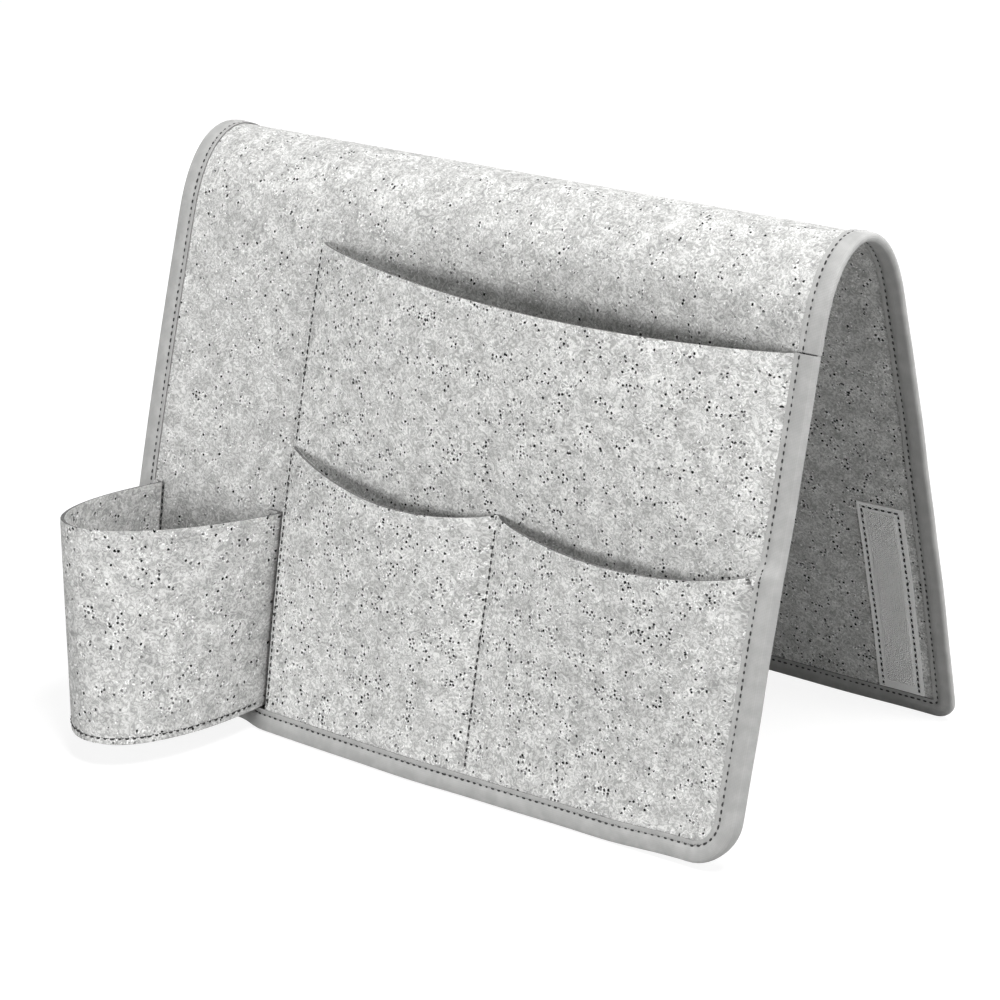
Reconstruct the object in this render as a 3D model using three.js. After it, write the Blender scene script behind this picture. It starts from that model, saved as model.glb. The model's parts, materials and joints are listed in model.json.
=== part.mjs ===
// Felt armrest organizer: a wide felt panel bent over a ridge into two leaves that stand like a tent.
// The front leaf carries a wide tablet pocket, two phone pockets sewn over it and a hanging felt cup.
// Millimetres, +X along the ridge, -Y to the pocket side, +Z up.
import * as THREE from "three";

const degrees = THREE.MathUtils.degToRad;

// Panel and ridge
const panelWidth = 300;
const ridgeHeight = 215;
const ridgeRadius = 18.4;
const leafTilt = degrees(15.7);
const feltThickness = 2;
const frontCornerRadius = 17;
const backCornerRadius = 9.3;

// Edge binding, folded from flat woven tape
const tapeThickness = 0.5;
const bindingWidth = 8.5;
const bindingStitchInset = 6.6;
const bindingStepRun = 2.5;

// Folds where each leaf leaves the ridge band
const foldDistance = 18;
const foldOpen = degrees(74);
const foldShut = degrees(18);
const foldMargin = degrees(1.5);

// Pocket panels, whose left edge slants away from the cup towards the floor
const pocketFelt = 1.8;
const pocketEdgeDistance = 75.5;
const pocketSlant = 9.5;
const pocketSeamInset = 2;
const bulgeFullness = 0.8;

// Tablet pocket, its mouth measured along the felt from the ridge line
const tabletLeftEdge = 44.5;
const tabletRightEdge = 49.5;
const tabletDrop = 7;
const tabletBulge = 18;

// Phone pockets, their height measured up the leaf from the floor at the left end
const phoneHeight = 110.5;
const phoneDividerDrop = 6;
const phoneRightDrop = 3.5;
const phoneDrop = 8;
const phoneBulge = 11;
const dividerDistance = 101;
const dividerFlat = 1.2;

// Hanging cup, plan sizes measured from the leaf
const cupFelt = 2;
const cupEdgeDistance = 12.5;
const cupTaper = 5;
const cupBaseDepth = 68;
const cupRimDepth = 60;
const cupLean = 24;
const cupSquareness = 2.1;
const cupLift = 9;
const cupHeight = 72.5;
const cupFlange = 7;
const cupLeftFlange = 3.6;
const cupFlangeBend = 1.6;
const cupBaseFelt = 2;
const cupBaseLift = 1.3;

// Hook tape strips on the inside of the back leaf
const stripWidth = 20;
const stripLength = 88;
const stripTape = 0.7;
const stripThickness = 1.8;
const stripBorder = 3.6;
const stripSlope = 0.4;
const stripEdgeDistance = 12.5;
const stripStitchInset = 2;

// Sewing thread
const threadWidth = 0.8;
const threadHeight = 0.4;
const dividerStitchInset = 5;

// Clearances
const layerGap = 0.15;
const edgeGap = 0.2;
const foldClearance = 0.2;
const cupSeatGap = 2.5;
const cupFloorGap = 0.8;
const stripGap = 0.6;

// Mesh steps
const archStep = 3.2;
const archSums = 80;
const cornerSteps = 8;
const footBlend = 30;
const footSteps = 5;
const panelColumns = 4;
const tabletColumns = 20;
const phoneColumns = 16;
const pocketRows = 12;
const cupTurnSteps = 28;
const cupRows = 6;
const bendSteps = 3;
const seamSteps = 8;

// Sizes that follow from the ones above
const halfWidth = panelWidth / 2;
const fullTurn = Math.PI / 2 - leafTilt;
const archLength = 2 * fullTurn * ridgeRadius;
const middleTop = ridgeHeight - feltThickness / 2;
const feltInset = tapeThickness + edgeGap;
const feltFace = feltThickness / 2;
const pocketLayer = pocketFelt + layerGap;
const cupLeft = -halfWidth + cupEdgeDistance;
const pocketLeft = -halfWidth + pocketEdgeDistance;
const pocketSeam = pocketLeft + pocketSeamInset;
const pocketRight = halfWidth - bindingWidth - layerGap;
const divider = pocketSeam + dividerDistance;
const footLength = archLength + (middleTop - middle(archLength, 0).drop) / Math.cos(leafTilt);
const phoneEdge = footLength - phoneHeight;
const phoneDividerEdge = phoneEdge + phoneDividerDrop;
const phoneRightEdge = phoneEdge + phoneRightDrop;
const pocketFootLeft = pocketLeft + slantAt(pocketLeft, footLength - bindingWidth) - layerGap;

// The bend fades evenly from the ridge line to the straight part of each leaf.
function turnAt(along) {
  const share = Math.min(Math.abs(along) / archLength, 1);
  return Math.sign(along) * 2 * fullTurn * (share - (share * share) / 2);
}

// A point of the felt's middle surface, a distance along the felt from the ridge line, front positive.
function middle(along, top) {
  const bent = Math.min(Math.abs(along), archLength);
  const step = bent / archSums;
  const straight = Math.abs(along) - bent;
  let across = Math.sin(leafTilt) * straight;
  let drop = Math.cos(leafTilt) * straight;
  for (let i = 0; i < archSums; i++) {
    const turn = turnAt((i + 0.5) * step);
    across += Math.cos(turn) * step;
    drop += Math.sin(turn) * step;
  }
  return { y: -Math.sign(along) * across, z: top - drop, drop };
}

function smooth(share) {
  const s = THREE.MathUtils.clamp(share, 0, 1);
  return s * s * (3 - 2 * s);
}

// A point given on the flat pattern, with a distance out from the felt's middle surface.
// Near the floor the layers slide on each other, so that the lower edge stands level.
function place(x, along, out) {
  const slide = Math.tan(leafTilt) * smooth((Math.abs(along) - footLength + footBlend) / footBlend);
  const turn = turnAt(along);
  const at = middle(along + Math.sign(along) * slide * out, middleTop);
  return new THREE.Vector3(x, at.y - Math.sin(turn) * out, at.z + Math.cos(turn) * out);
}

// How far a piece keeps from the fold line, wider on the faces so that it can turn.
function foldCut(out) {
  const opening = out > 0 ? foldOpen / 2 + foldMargin : foldShut / 2 + foldMargin;
  return foldClearance + Math.abs(out) * Math.tan(opening);
}

// Distances along the felt from one place to another, with steps where the felt bends or slides.
function stops(from, to) {
  const marks = [];
  for (let i = 1; i * archStep < archLength; i++) marks.push(i * archStep);
  for (let i = 0; i < footSteps; i++) marks.push(footLength - footBlend * (1 - i / footSteps));
  const spare = archStep / 2;
  const inner = marks.filter((mark) => mark > from + spare && mark < to - spare);
  return [from, ...inner.sort((a, b) => a - b), to];
}

// Half the width of a leaf that has round lower corners, at a distance along the felt.
function leafHalfWidth(along, radius, inset) {
  const corner = radius - inset;
  const below = along - (footLength - radius);
  if (below <= 0) return halfWidth - inset;
  return halfWidth - radius + Math.sqrt(Math.max(corner * corner - below * below, 0));
}

// Rows down a leaf: the stops, then the round corners.
function leafRows(from, radius, inset) {
  const rows = stops(from, footLength - radius);
  for (let i = 1; i <= cornerSteps; i++) {
    const angle = ((Math.PI / 2) * i) / cornerSteps;
    rows.push(footLength - radius + (radius - inset) * Math.sin(angle));
  }
  return rows;
}

// A closed body from corner points and triangles, turned so that its faces point out.
function body(points, triangles) {
  let volume = 0;
  for (const [a, b, c] of triangles) {
    volume += points[a].dot(new THREE.Vector3().crossVectors(points[b], points[c]));
  }
  const faces = volume < 0 ? triangles.map(([a, b, c]) => [a, c, b]) : triangles;
  const geometry = new THREE.BufferGeometry().setFromPoints(points);
  geometry.setIndex(faces.flat());
  geometry.computeVertexNormals();
  return geometry;
}

// A sheet with two faces and a rim. point(column, row, face) gives face 0 inside and face 1 outside.
function sheet(columns, rows, point) {
  const points = [];
  const triangles = [];
  const index = (face, row, column) => (face * (rows + 1) + row) * (columns + 1) + column;
  const quad = (a, b, c, d) => triangles.push([a, b, c], [a, c, d]);
  for (let face = 0; face < 2; face++) {
    for (let row = 0; row <= rows; row++) {
      for (let column = 0; column <= columns; column++) points.push(point(column, row, face));
    }
  }
  for (let row = 0; row < rows; row++) {
    for (let column = 0; column < columns; column++) {
      const corners = (face) => [
        index(face, row, column),
        index(face, row, column + 1),
        index(face, row + 1, column + 1),
        index(face, row + 1, column),
      ];
      quad(...corners(1));
      quad(...corners(0).reverse());
    }
  }
  for (let row = 0; row < rows; row++) {
    quad(index(1, row, 0), index(1, row + 1, 0), index(0, row + 1, 0), index(0, row, 0));
    quad(index(0, row, columns), index(0, row + 1, columns), index(1, row + 1, columns), index(1, row, columns));
  }
  for (let column = 0; column < columns; column++) {
    quad(index(0, 0, column), index(0, 0, column + 1), index(1, 0, column + 1), index(1, 0, column));
    quad(index(1, rows, column), index(1, rows, column + 1), index(0, rows, column + 1), index(0, rows, column));
  }
  return body(points, triangles);
}

// A body swept through rings of equally many points, closed by caps or back onto its first ring.
function sweep(rings, outline, looped = false) {
  const count = outline.length;
  const points = rings.flat();
  const triangles = [];
  const spans = looped ? rings.length : rings.length - 1;
  for (let ring = 0; ring < spans; ring++) {
    const here = ring * count;
    const there = ((ring + 1) % rings.length) * count;
    for (let i = 0; i < count; i++) {
      const next = (i + 1) % count;
      triangles.push([here + i, here + next, there + next], [here + i, there + next, there + i]);
    }
  }
  if (!looped) {
    const last = (rings.length - 1) * count;
    const turned = THREE.ShapeUtils.area(outline) < 0;
    for (const [a, b, c] of THREE.ShapeUtils.triangulateShape(outline, [])) {
      const [p, q] = turned ? [b, c] : [c, b];
      triangles.push([a, p, q], [last + a, last + q, last + p]);
    }
  }
  return body(points, triangles);
}

// Stations round a leaf's edge: down the right side, along the floor and up the left side.
// Each has its place on the flat pattern and the direction towards the leaf.
function edgePath(radius, rightFrom, leftFrom, floorMarks) {
  const side = (sign, from) =>
    stops(from, footLength - radius).map((along) => ({ x: sign * halfWidth, along, inX: -sign, inAlong: 0 }));
  const corner = (sign) => {
    const stations = [];
    for (let i = 1; i < cornerSteps; i++) {
      const angle = ((Math.PI / 2) * i) / cornerSteps;
      const x = sign * (halfWidth - radius + radius * Math.cos(angle));
      const along = footLength - radius + radius * Math.sin(angle);
      stations.push({ x, along, inX: -sign * Math.cos(angle), inAlong: -Math.sin(angle) });
    }
    return stations;
  };
  const floorEnd = halfWidth - radius;
  const floor = [floorEnd, ...floorMarks, -floorEnd].map((x) => ({ x, along: footLength, inX: 0, inAlong: -1 }));
  const left = side(-1, leftFrom).reverse();
  return [...side(1, rightFrom), ...corner(1), ...floor, ...corner(-1).reverse(), ...left];
}

// Layers of pocket felt under the front binding at a station of its path.
function pocketLayers(station) {
  const nearLeft = (station.x - (pocketFootLeft - bindingStepRun)) / bindingStepRun;
  const besidePocket = THREE.MathUtils.clamp(nearLeft, 0, 1);
  const nearPhones = (station.along - (phoneRightEdge - layerGap - bindingStepRun)) / bindingStepRun;
  const besidePhones = THREE.MathUtils.clamp(nearPhones, 0, 1);
  return besidePocket * (1 + besidePhones);
}

// The folded section of a binding: distance in from its edge, and distance out from the felt's middle.
function bindingSection(layers) {
  const outside = feltFace + layerGap + layers * pocketLayer;
  const inside = -feltFace - layerGap;
  return [
    [0, inside - tapeThickness],
    [0, 0],
    [0, outside + tapeThickness],
    [bindingWidth, outside + tapeThickness],
    [bindingWidth, outside],
    [tapeThickness, outside],
    [tapeThickness, 0],
    [tapeThickness, inside],
    [bindingWidth, inside],
    [bindingWidth, inside - tapeThickness],
  ];
}

function asOutline(section) {
  return section.map(([across, out]) => new THREE.Vector2(across, out));
}

// A ring of points at a station, for a section given as pairs of inward and outward distances.
function ringAt(station, section, side, ended) {
  return section.map(([across, out]) => {
    const cut = ended ? ended * foldCut(out) : 0;
    const along = station.along + station.inAlong * across + cut;
    return place(station.x + station.inX * across, side * along, out);
  });
}

// A strip swept along stations. The ends that lie on a fold line are cut back from it.
function strip(stations, side, sectionAt, cutFirst, cutLast) {
  const last = stations.length - 1;
  const rings = stations.map((station, i) => {
    const ended = (i === 0 && cutFirst) || (i === last && cutLast) || 0;
    return ringAt(station, sectionAt(station), side, ended);
  });
  return sweep(rings, asOutline(sectionAt(stations[0])));
}

// The low section of a row of stitches that lies on a face, centred on a distance in from the edge.
function stitchSection(inset, face) {
  const towards = Math.sign(face);
  const foot = face + towards * layerGap;
  const crown = foot + towards * threadHeight;
  const half = threadWidth / 2;
  return [
    [inset - half, foot],
    [inset - half / 2, crown],
    [inset + half / 2, crown],
    [inset + half, foot],
  ];
}

const faceOfBinding = (layers) => feltFace + layerGap + layers * pocketLayer + tapeThickness;
const backOfBinding = -(feltFace + layerGap + tapeThickness);

// Materials
const felt = () => new THREE.MeshStandardMaterial({ color: 0xc8c8c6, roughness: 0.95, metalness: 0 });
const tape = () => new THREE.MeshStandardMaterial({ color: 0xc2c2c1, roughness: 0.7, metalness: 0 });
const hookTape = () => new THREE.MeshStandardMaterial({ color: 0xb4b4b2, roughness: 0.8, metalness: 0 });
const thread = () => new THREE.MeshStandardMaterial({ color: 0x9d9d9b, roughness: 0.6, metalness: 0 });

// Groups: the ridge band stays, and each leaf turns on its fold line
const organizer = new THREE.Group();
const ridge = new THREE.Group();
const front = new THREE.Group();
const back = new THREE.Group();
front.position.copy(place(0, foldDistance, 0));
back.position.copy(place(0, -foldDistance, 0));
organizer.add(ridge, front, back);

function add(group, name, geometry, material) {
  geometry.translate(-group.position.x, -group.position.y, -group.position.z);
  const mesh = new THREE.Mesh(geometry, material());
  mesh.name = name;
  group.add(mesh);
}

// Ridge band between the two fold lines
function ridgeBand() {
  const half = stops(0, foldDistance);
  const rows = [...half.slice(1).reverse().map((along) => -along), ...half];
  return sheet(panelColumns, rows.length - 1, (column, row, face) => {
    const out = face ? feltFace : -feltFace;
    const atEnd = row === 0 || row === rows.length - 1;
    const along = rows[row] - (atEnd ? Math.sign(rows[row]) * foldCut(out) : 0);
    const x = (halfWidth - feltInset) * ((2 * column) / panelColumns - 1);
    return place(x, along, out);
  });
}

// A leaf from its fold line down to its lower edge, side 1 in front and -1 behind
function leaf(side, radius) {
  const rows = leafRows(foldDistance, radius, feltInset);
  return sheet(panelColumns, rows.length - 1, (column, row, face) => {
    const out = face ? feltFace : -feltFace;
    const along = rows[row] + (row === 0 ? foldCut(out) : 0);
    const x = leafHalfWidth(rows[row], radius, feltInset) * ((2 * column) / panelColumns - 1);
    return place(x, side * along, out);
  });
}

// The rounded swell of a pocket between two seams
function swell(x, from, to) {
  const share = THREE.MathUtils.clamp((x - from) / (to - from), 0, 1);
  return Math.pow(Math.sin(Math.PI * share), bulgeFullness);
}

const fading = (along, from, to) => 1 - smooth((along - from) / (to - from));

// The tablet pocket's upper edge dips in the middle and sits lower at its right end.
function tabletMouth(x) {
  const share = THREE.MathUtils.clamp((x - pocketSeam) / (pocketRight - pocketSeam), 0, 1);
  const end = THREE.MathUtils.lerp(tabletLeftEdge, tabletRightEdge, share);
  return end + tabletDrop * swell(x, pocketSeam, pocketRight);
}

// How far the slanting pocket edge, and what lies near it, moves right at a distance along the felt
function slantAt(x, along) {
  const share = THREE.MathUtils.clamp((along - tabletLeftEdge) / (footLength - tabletLeftEdge), 0, 1);
  const nearness = THREE.MathUtils.clamp((halfWidth - feltInset - x) / (halfWidth - feltInset - pocketLeft), 0, 1);
  return pocketSlant * share * share * nearness;
}

const dividerLeft = divider - dividerFlat;
const dividerRight = divider + dividerFlat;

// Each phone pocket swells between its outer seam and the flat strip along the divider.
function phoneSwell(x) {
  return x < divider ? swell(x, pocketSeam, dividerLeft) : swell(x, dividerRight, pocketRight);
}

// The phone pockets' upper edge dips in each mouth and sits lower at the divider than at its ends.
function phoneMouth(x) {
  const span = x < divider ? divider - pocketSeam : pocketRight - divider;
  const end = x < divider ? phoneEdge : phoneRightEdge;
  const nearDivider = 1 - THREE.MathUtils.clamp(Math.abs(x - divider) / span, 0, 1);
  return THREE.MathUtils.lerp(end, phoneDividerEdge, nearDivider) + phoneDrop * phoneSwell(x);
}

function tabletOut(x, along) {
  const end = phoneEdge - bindingStepRun;
  const bulge = tabletBulge * swell(x, pocketSeam, pocketRight) * fading(along, tabletLeftEdge, end);
  return feltFace + layerGap + bulge;
}

function phoneOut(x, along) {
  const end = footLength - bindingWidth - layerGap;
  return tabletOut(x, along) + pocketLayer + phoneBulge * phoneSwell(x) * fading(along, phoneEdge, end);
}

// A pocket panel: its columns run from its left edge into the right binding, its rows down to the floor.
function pocketPanel(columns, mouth, outAt) {
  const floorRow = footLength - feltInset;
  const cornerTop = footLength - frontCornerRadius;
  return sheet(columns.length - 1, pocketRows + cornerSteps, (column, row, face) => {
    const top = mouth(columns[column]);
    const angle = ((Math.PI / 2) * (row - pocketRows)) / cornerSteps;
    const inCorner = cornerTop + (floorRow - cornerTop) * Math.sin(angle);
    const along = row <= pocketRows ? top + ((cornerTop - top) * row) / pocketRows : inCorner;
    const right = leafHalfWidth(along, frontCornerRadius, feltInset);
    const widest = halfWidth - feltInset;
    const share = (columns[column] - pocketLeft) / (widest - pocketLeft);
    const x = pocketLeft + (right - pocketLeft) * share;
    return place(x + slantAt(columns[column], along), along, outAt(columns[column], along) + face * pocketFelt);
  });
}

function spaced(from, to, steps) {
  return Array.from({ length: steps + 1 }, (_, i) => from + ((to - from) * i) / steps);
}

const panelEnd = halfWidth - feltInset;
const tabletColumnsAt = [pocketLeft, ...spaced(pocketSeam, pocketRight, tabletColumns), panelEnd];
const leftPhoneAt = spaced(pocketSeam, dividerLeft, phoneColumns);
const rightPhoneAt = spaced(dividerRight, pocketRight, phoneColumns);
const phoneColumnsAt = [pocketLeft, ...leftPhoneAt, ...rightPhoneAt, panelEnd];

// Binding paths on each leaf and on the ridge band
const tapeJoint = tabletMouth(panelEnd) - layerGap;
const pocketRamp = [pocketFootLeft, pocketFootLeft - bindingStepRun];
function frontEdge() {
  const path = edgePath(frontCornerRadius, tapeJoint, foldDistance, pocketRamp);
  const phones = [phoneRightEdge - layerGap - bindingStepRun, phoneRightEdge - layerGap];
  const marks = phones.map((along) => ({ x: halfWidth, along, inX: -1, inAlong: 0 }));
  const firstBelow = path.findIndex((station) => station.along > phones[1]);
  path.splice(firstBelow, 0, ...marks);
  return path;
}
function upperEdge(sign, from, to) {
  return stops(from, to).map((along) => ({ x: sign * halfWidth, along, inX: -sign, inAlong: 0 }));
}
const plain = () => bindingSection(0);
const layered = (station) => bindingSection(pocketLayers(station));

// A row of stitches along a binding, on its outer or its inner face
const bindingStitch = (station) => stitchSection(bindingStitchInset, faceOfBinding(pocketLayers(station)));
const plainStitch = () => stitchSection(bindingStitchInset, faceOfBinding(0));
const backStitch = () => stitchSection(bindingStitchInset, backOfBinding);

// A straight or bent row of stitches through marked points of the flat pattern
function seam(points, side, face) {
  const stations = points.map(([x, along, nominal], i) => {
    const before = points[Math.max(i - 1, 0)];
    const after = points[Math.min(i + 1, points.length - 1)];
    const way = new THREE.Vector2(after[0] - before[0], after[1] - before[1]).normalize();
    return { x, along, inX: way.y, inAlong: -way.x, nominal };
  });
  return strip(stations, side, (station) => stitchSection(0, face(station.nominal, station.along)), 0, 0);
}

// A closed row of stitches round a rectangle of the flat pattern
function seamLoop(left, right, upper, lower, side, face) {
  const half = threadWidth / 2;
  const towards = Math.sign(face);
  const foot = face + towards * layerGap;
  const section = [
    [-half, foot],
    [-half / 2, foot + towards * threadHeight],
    [half / 2, foot + towards * threadHeight],
    [half, foot],
  ];
  const corners = [
    [left, upper, 1, 1],
    [right, upper, -1, 1],
    [right, lower, -1, -1],
    [left, lower, 1, -1],
  ];
  const rings = corners.map(([x, along, inX, inAlong]) =>
    section.map(([across, out]) => place(x + inX * across, side * (along + inAlong * across), out)),
  );
  return sweep(rings, asOutline(section), true);
}

// The cup hangs on the leaf's outer face, which leans with height.
const slopeAt = (z) => footLength - z / Math.cos(leafTilt);
const leafFace = (z) => {
  return middle(slopeAt(z), middleTop).y - feltFace / Math.cos(leafTilt);
};
const flangeMiddle = layerGap + cupFelt / 2;

// The cup's right end keeps beside the slanting edge of the pockets.
function cupRightAt(lift) {
  const edge = pocketLeft + slantAt(pocketLeft, slopeAt(cupLift + cupHeight * lift));
  return edge - cupSeatGap - cupFelt / 2;
}

// The cup wall's middle line in plan, from the end of the right flange to the end of the left one.
// The right flange turns in, under the wall, and the narrow left one turns out.
function cupLine(lift) {
  const depth = THREE.MathUtils.lerp(cupBaseDepth, cupRimDepth, lift) - flangeMiddle - cupFlangeBend;
  const left = cupLeft + cupTaper * (1 - lift);
  const right = cupRightAt(lift);
  const span = right - left;
  const bend = (corner) =>
    spaced(0, Math.PI / 2, bendSteps).map((angle) => [
      corner - cupFlangeBend * (1 - Math.cos(angle)),
      -flangeMiddle - cupFlangeBend * (1 - Math.sin(angle)),
    ]);
  const rightBend = bend(right).reverse();
  const leftBend = bend(left);
  const wall = [];
  for (let i = 1; i < cupTurnSteps; i++) {
    const angle = (Math.PI * i) / cupTurnSteps;
    const side = Math.sign(Math.cos(angle)) * Math.pow(Math.abs(Math.cos(angle)), 2 / cupSquareness);
    const out = depth * Math.pow(Math.sin(angle), 2 / cupSquareness);
    const lean = (cupLean * lift * out) / depth;
    wall.push([right - (span / 2) * (1 - side) - lean, -flangeMiddle - cupFlangeBend - out]);
  }
  const rightEnd = [right - cupFlange, -flangeMiddle];
  const leftEnd = [left - cupLeftFlange, -flangeMiddle];
  return [rightEnd, ...rightBend, ...wall, ...leftBend, leftEnd];
}

// A plan line moved sideways, towards the inside of the cup
function offsetLine(line, distance) {
  return line.map(([x, y], i) => {
    const before = line[Math.max(i - 1, 0)];
    const after = line[Math.min(i + 1, line.length - 1)];
    const way = new THREE.Vector2(after[0] - before[0], after[1] - before[1]).normalize();
    return [x + way.y * distance, y - way.x * distance];
  });
}

function cupWall() {
  const columns = cupLine(0).length - 1;
  return sheet(columns, cupRows, (column, row, face) => {
    const lift = row / cupRows;
    const z = cupLift + cupHeight * lift;
    const [x, y] = offsetLine(cupLine(lift), (0.5 - face) * cupFelt)[column];
    return new THREE.Vector3(x, leafFace(z) + y, z);
  });
}

// The cup's floor fits inside the wall, with its back edge beside the right flange.
// The leaf leans back with height, so the front follows the floor's top and the back follows its underside.
function cupBase() {
  const floor = cupLift + cupBaseLift;
  const top = floor + cupBaseFelt;
  const wall = cupLine((top - cupLift) / cupHeight);
  const inward = offsetLine(wall, cupFelt / 2 + cupFloorGap);
  const flangeFace = leafFace(floor) - layerGap - cupFelt - layerGap;
  const onFloor = inward.map(([x, y]) => [x, y + leafFace(top)]);
  const round = onFloor.filter(([, y]) => y < flangeFace - cupFlangeBend);
  const notchRight = cupRightAt((top - cupLift) / cupHeight) - cupFlange - layerGap;
  const outline = [
    [notchRight, leafFace(floor) - layerGap],
    [notchRight, flangeFace],
    [round[0][0], flangeFace],
    ...round,
    [round[round.length - 1][0], leafFace(floor) - layerGap],
  ];
  const shape = new THREE.Shape(outline.map(([x, y]) => new THREE.Vector2(x, y)));
  const plate = new THREE.ExtrudeGeometry(shape, { depth: cupBaseFelt, bevelEnabled: false });
  return plate.translate(0, 0, floor);
}

// Stitches on the outside of the cup wall that hold its floor
function cupBaseThread() {
  const seamHeight = cupBaseLift + cupBaseFelt / 2;
  const section = stitchSection(0, cupFelt / 2);
  const lines = section.map(([above, out]) => {
    const z = cupLift + seamHeight + above;
    const line = offsetLine(cupLine((seamHeight + above) / cupHeight), -out);
    const wallOnly = line.slice(bendSteps + 2, line.length - bendSteps - 2);
    return wallOnly.map(([x, y]) => new THREE.Vector3(x, leafFace(z) + y, z));
  });
  const rings = lines[0].map((_, i) => lines.map((line) => line[i]));
  return sweep(rings, asOutline(section));
}

const cupSeamTop = slopeAt(cupLift + cupHeight - stripStitchInset);
const cupSeamFoot = slopeAt(cupLift + cupBaseLift + cupBaseFelt + stripStitchInset);
const cupSeamInset = (cupFlange + cupFlangeBend) / 2;
const cupLeftSeamInset = (cupLeftFlange + cupFlangeBend) / 2;
const flangeOuter = () => feltFace + (layerGap + cupFelt) * Math.cos(leafTilt);

// Hook tape strips lie on the inner face of the back leaf: a raised field of hooks in a flat, sewn border
const stripOuter = halfWidth - stripEdgeDistance;
const stripFoot = footLength - bindingWidth - stripGap;
const stripTop = stripFoot - stripLength;
const stripBack = -feltFace - layerGap;
const stripFace = stripBack - stripTape;
const fieldFace = stripBack - stripThickness;
function bordered(from, to) {
  const inset = stripBorder + stripSlope;
  return [from, from + stripBorder, from + inset, to - inset, to - stripBorder, to];
}
function hookStrip(sign) {
  const columns = bordered(stripOuter - stripWidth, stripOuter);
  const rows = bordered(stripTop, stripFoot);
  const inField = (i) => i === 2 || i === 3;
  return sheet(columns.length - 1, rows.length - 1, (column, row, face) => {
    const front = inField(column) && inField(row) ? fieldFace : stripFace;
    return place(sign * columns[column], -rows[row], face ? front : stripBack);
  });
}
function stripStitches(sign, face) {
  const outer = sign * (stripOuter - stripStitchInset);
  const inner = sign * (stripOuter - stripWidth + stripStitchInset);
  const left = Math.min(outer, inner);
  const right = Math.max(outer, inner);
  return seamLoop(left, right, stripTop + stripStitchInset, stripFoot - stripStitchInset, -1, face);
}

// Ridge
const ridgeSide = (sign) => {
  const half = stops(0, foldDistance);
  const rows = [...half.slice(1).reverse().map((along) => -along), ...half];
  return rows.map((along) => ({ x: sign * halfWidth, along, inX: -sign, inAlong: 0 }));
};
add(ridge, "ridge_band", ridgeBand(), felt);
for (const [name, sign] of [["left", -1], ["right", 1]]) {
  const path = ridgeSide(sign);
  add(ridge, `ridge_binding_${name}`, strip(path, 1, plain, 1, -1), tape);
  add(ridge, `ridge_${name}_needle_thread`, strip(path, 1, plainStitch, 1, -1), thread);
  add(ridge, `ridge_${name}_bobbin_thread`, strip(path, 1, backStitch, 1, -1), thread);
}

// Front leaf and its binding
const upperRight = upperEdge(1, foldDistance, tapeJoint - layerGap);
add(front, "front_leaf", leaf(1, frontCornerRadius), felt);
add(front, "front_binding", strip(frontEdge(), 1, layered, 0, 1), tape);
add(front, "front_binding_needle_thread", strip(frontEdge(), 1, bindingStitch, 0, 1), thread);
add(front, "front_binding_bobbin_thread", strip(frontEdge(), 1, backStitch, 0, 1), thread);
add(front, "front_binding_upper", strip(upperRight, 1, plain, 1, 0), tape);
add(front, "front_upper_needle_thread", strip(upperRight, 1, plainStitch, 1, 0), thread);
add(front, "front_upper_bobbin_thread", strip(upperRight, 1, backStitch, 1, 0), thread);

// Pockets and their seams
const innerFace = () => -feltFace;
const seamTop = tabletLeftEdge + pocketSeamInset;
const seamFoot = footLength - bindingWidth - pocketSeamInset;
const pocketSurface = (x, along) => {
  const onPhones = along > phoneMouth(x);
  return (onPhones ? phoneOut(x, along) : tabletOut(x, along)) + pocketFelt;
};
const phoneSeamTop = phoneMouth(divider) + dividerStitchInset;
add(front, "tablet_pocket", pocketPanel(tabletColumnsAt, tabletMouth, tabletOut), felt);
add(front, "phone_pockets", pocketPanel(phoneColumnsAt, phoneMouth, phoneOut), felt);
const seamX = (pocketLeft + pocketSeam) / 2;
const seamAlong = (x, from, to) =>
  spaced(from, to, seamSteps).map((along) => [x + slantAt(x, along), along, x]);
const tabletSeam = seamAlong(seamX, seamTop, phoneEdge - pocketSeamInset);
const phoneSeam = seamAlong(seamX, phoneEdge + pocketSeamInset, seamFoot);
const dividerSeam = seamAlong(divider, phoneSeamTop, seamFoot);
const wholeSeam = seamAlong(seamX, seamTop, seamFoot);
add(front, "tablet_seam_needle_thread", seam(tabletSeam, 1, pocketSurface), thread);
add(front, "phone_seam_needle_thread", seam(phoneSeam, 1, pocketSurface), thread);
add(front, "pocket_seam_bobbin_thread", seam(wholeSeam, 1, innerFace), thread);
add(front, "divider_needle_thread", seam(dividerSeam, 1, pocketSurface), thread);
add(front, "divider_bobbin_thread", seam(dividerSeam, 1, innerFace), thread);

// Cup and its seams
add(front, "cup_wall", cupWall(), felt);
add(front, "cup_base", cupBase(), felt);
add(front, "cup_base_thread", cupBaseThread(), thread);
const cupSeams = [
  ["left", cupLeft - cupLeftSeamInset, cupLeft + cupTaper - cupLeftSeamInset],
  ["right", cupRightAt(1) - cupSeamInset, cupRightAt(0) - cupSeamInset],
];
for (const [name, upperX, lowerX] of cupSeams) {
  const cupSeam = [[upperX, cupSeamTop], [lowerX, cupSeamFoot]];
  add(front, `cup_${name}_needle_thread`, seam(cupSeam, 1, flangeOuter), thread);
  add(front, `cup_${name}_bobbin_thread`, seam(cupSeam, 1, innerFace), thread);
}

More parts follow.
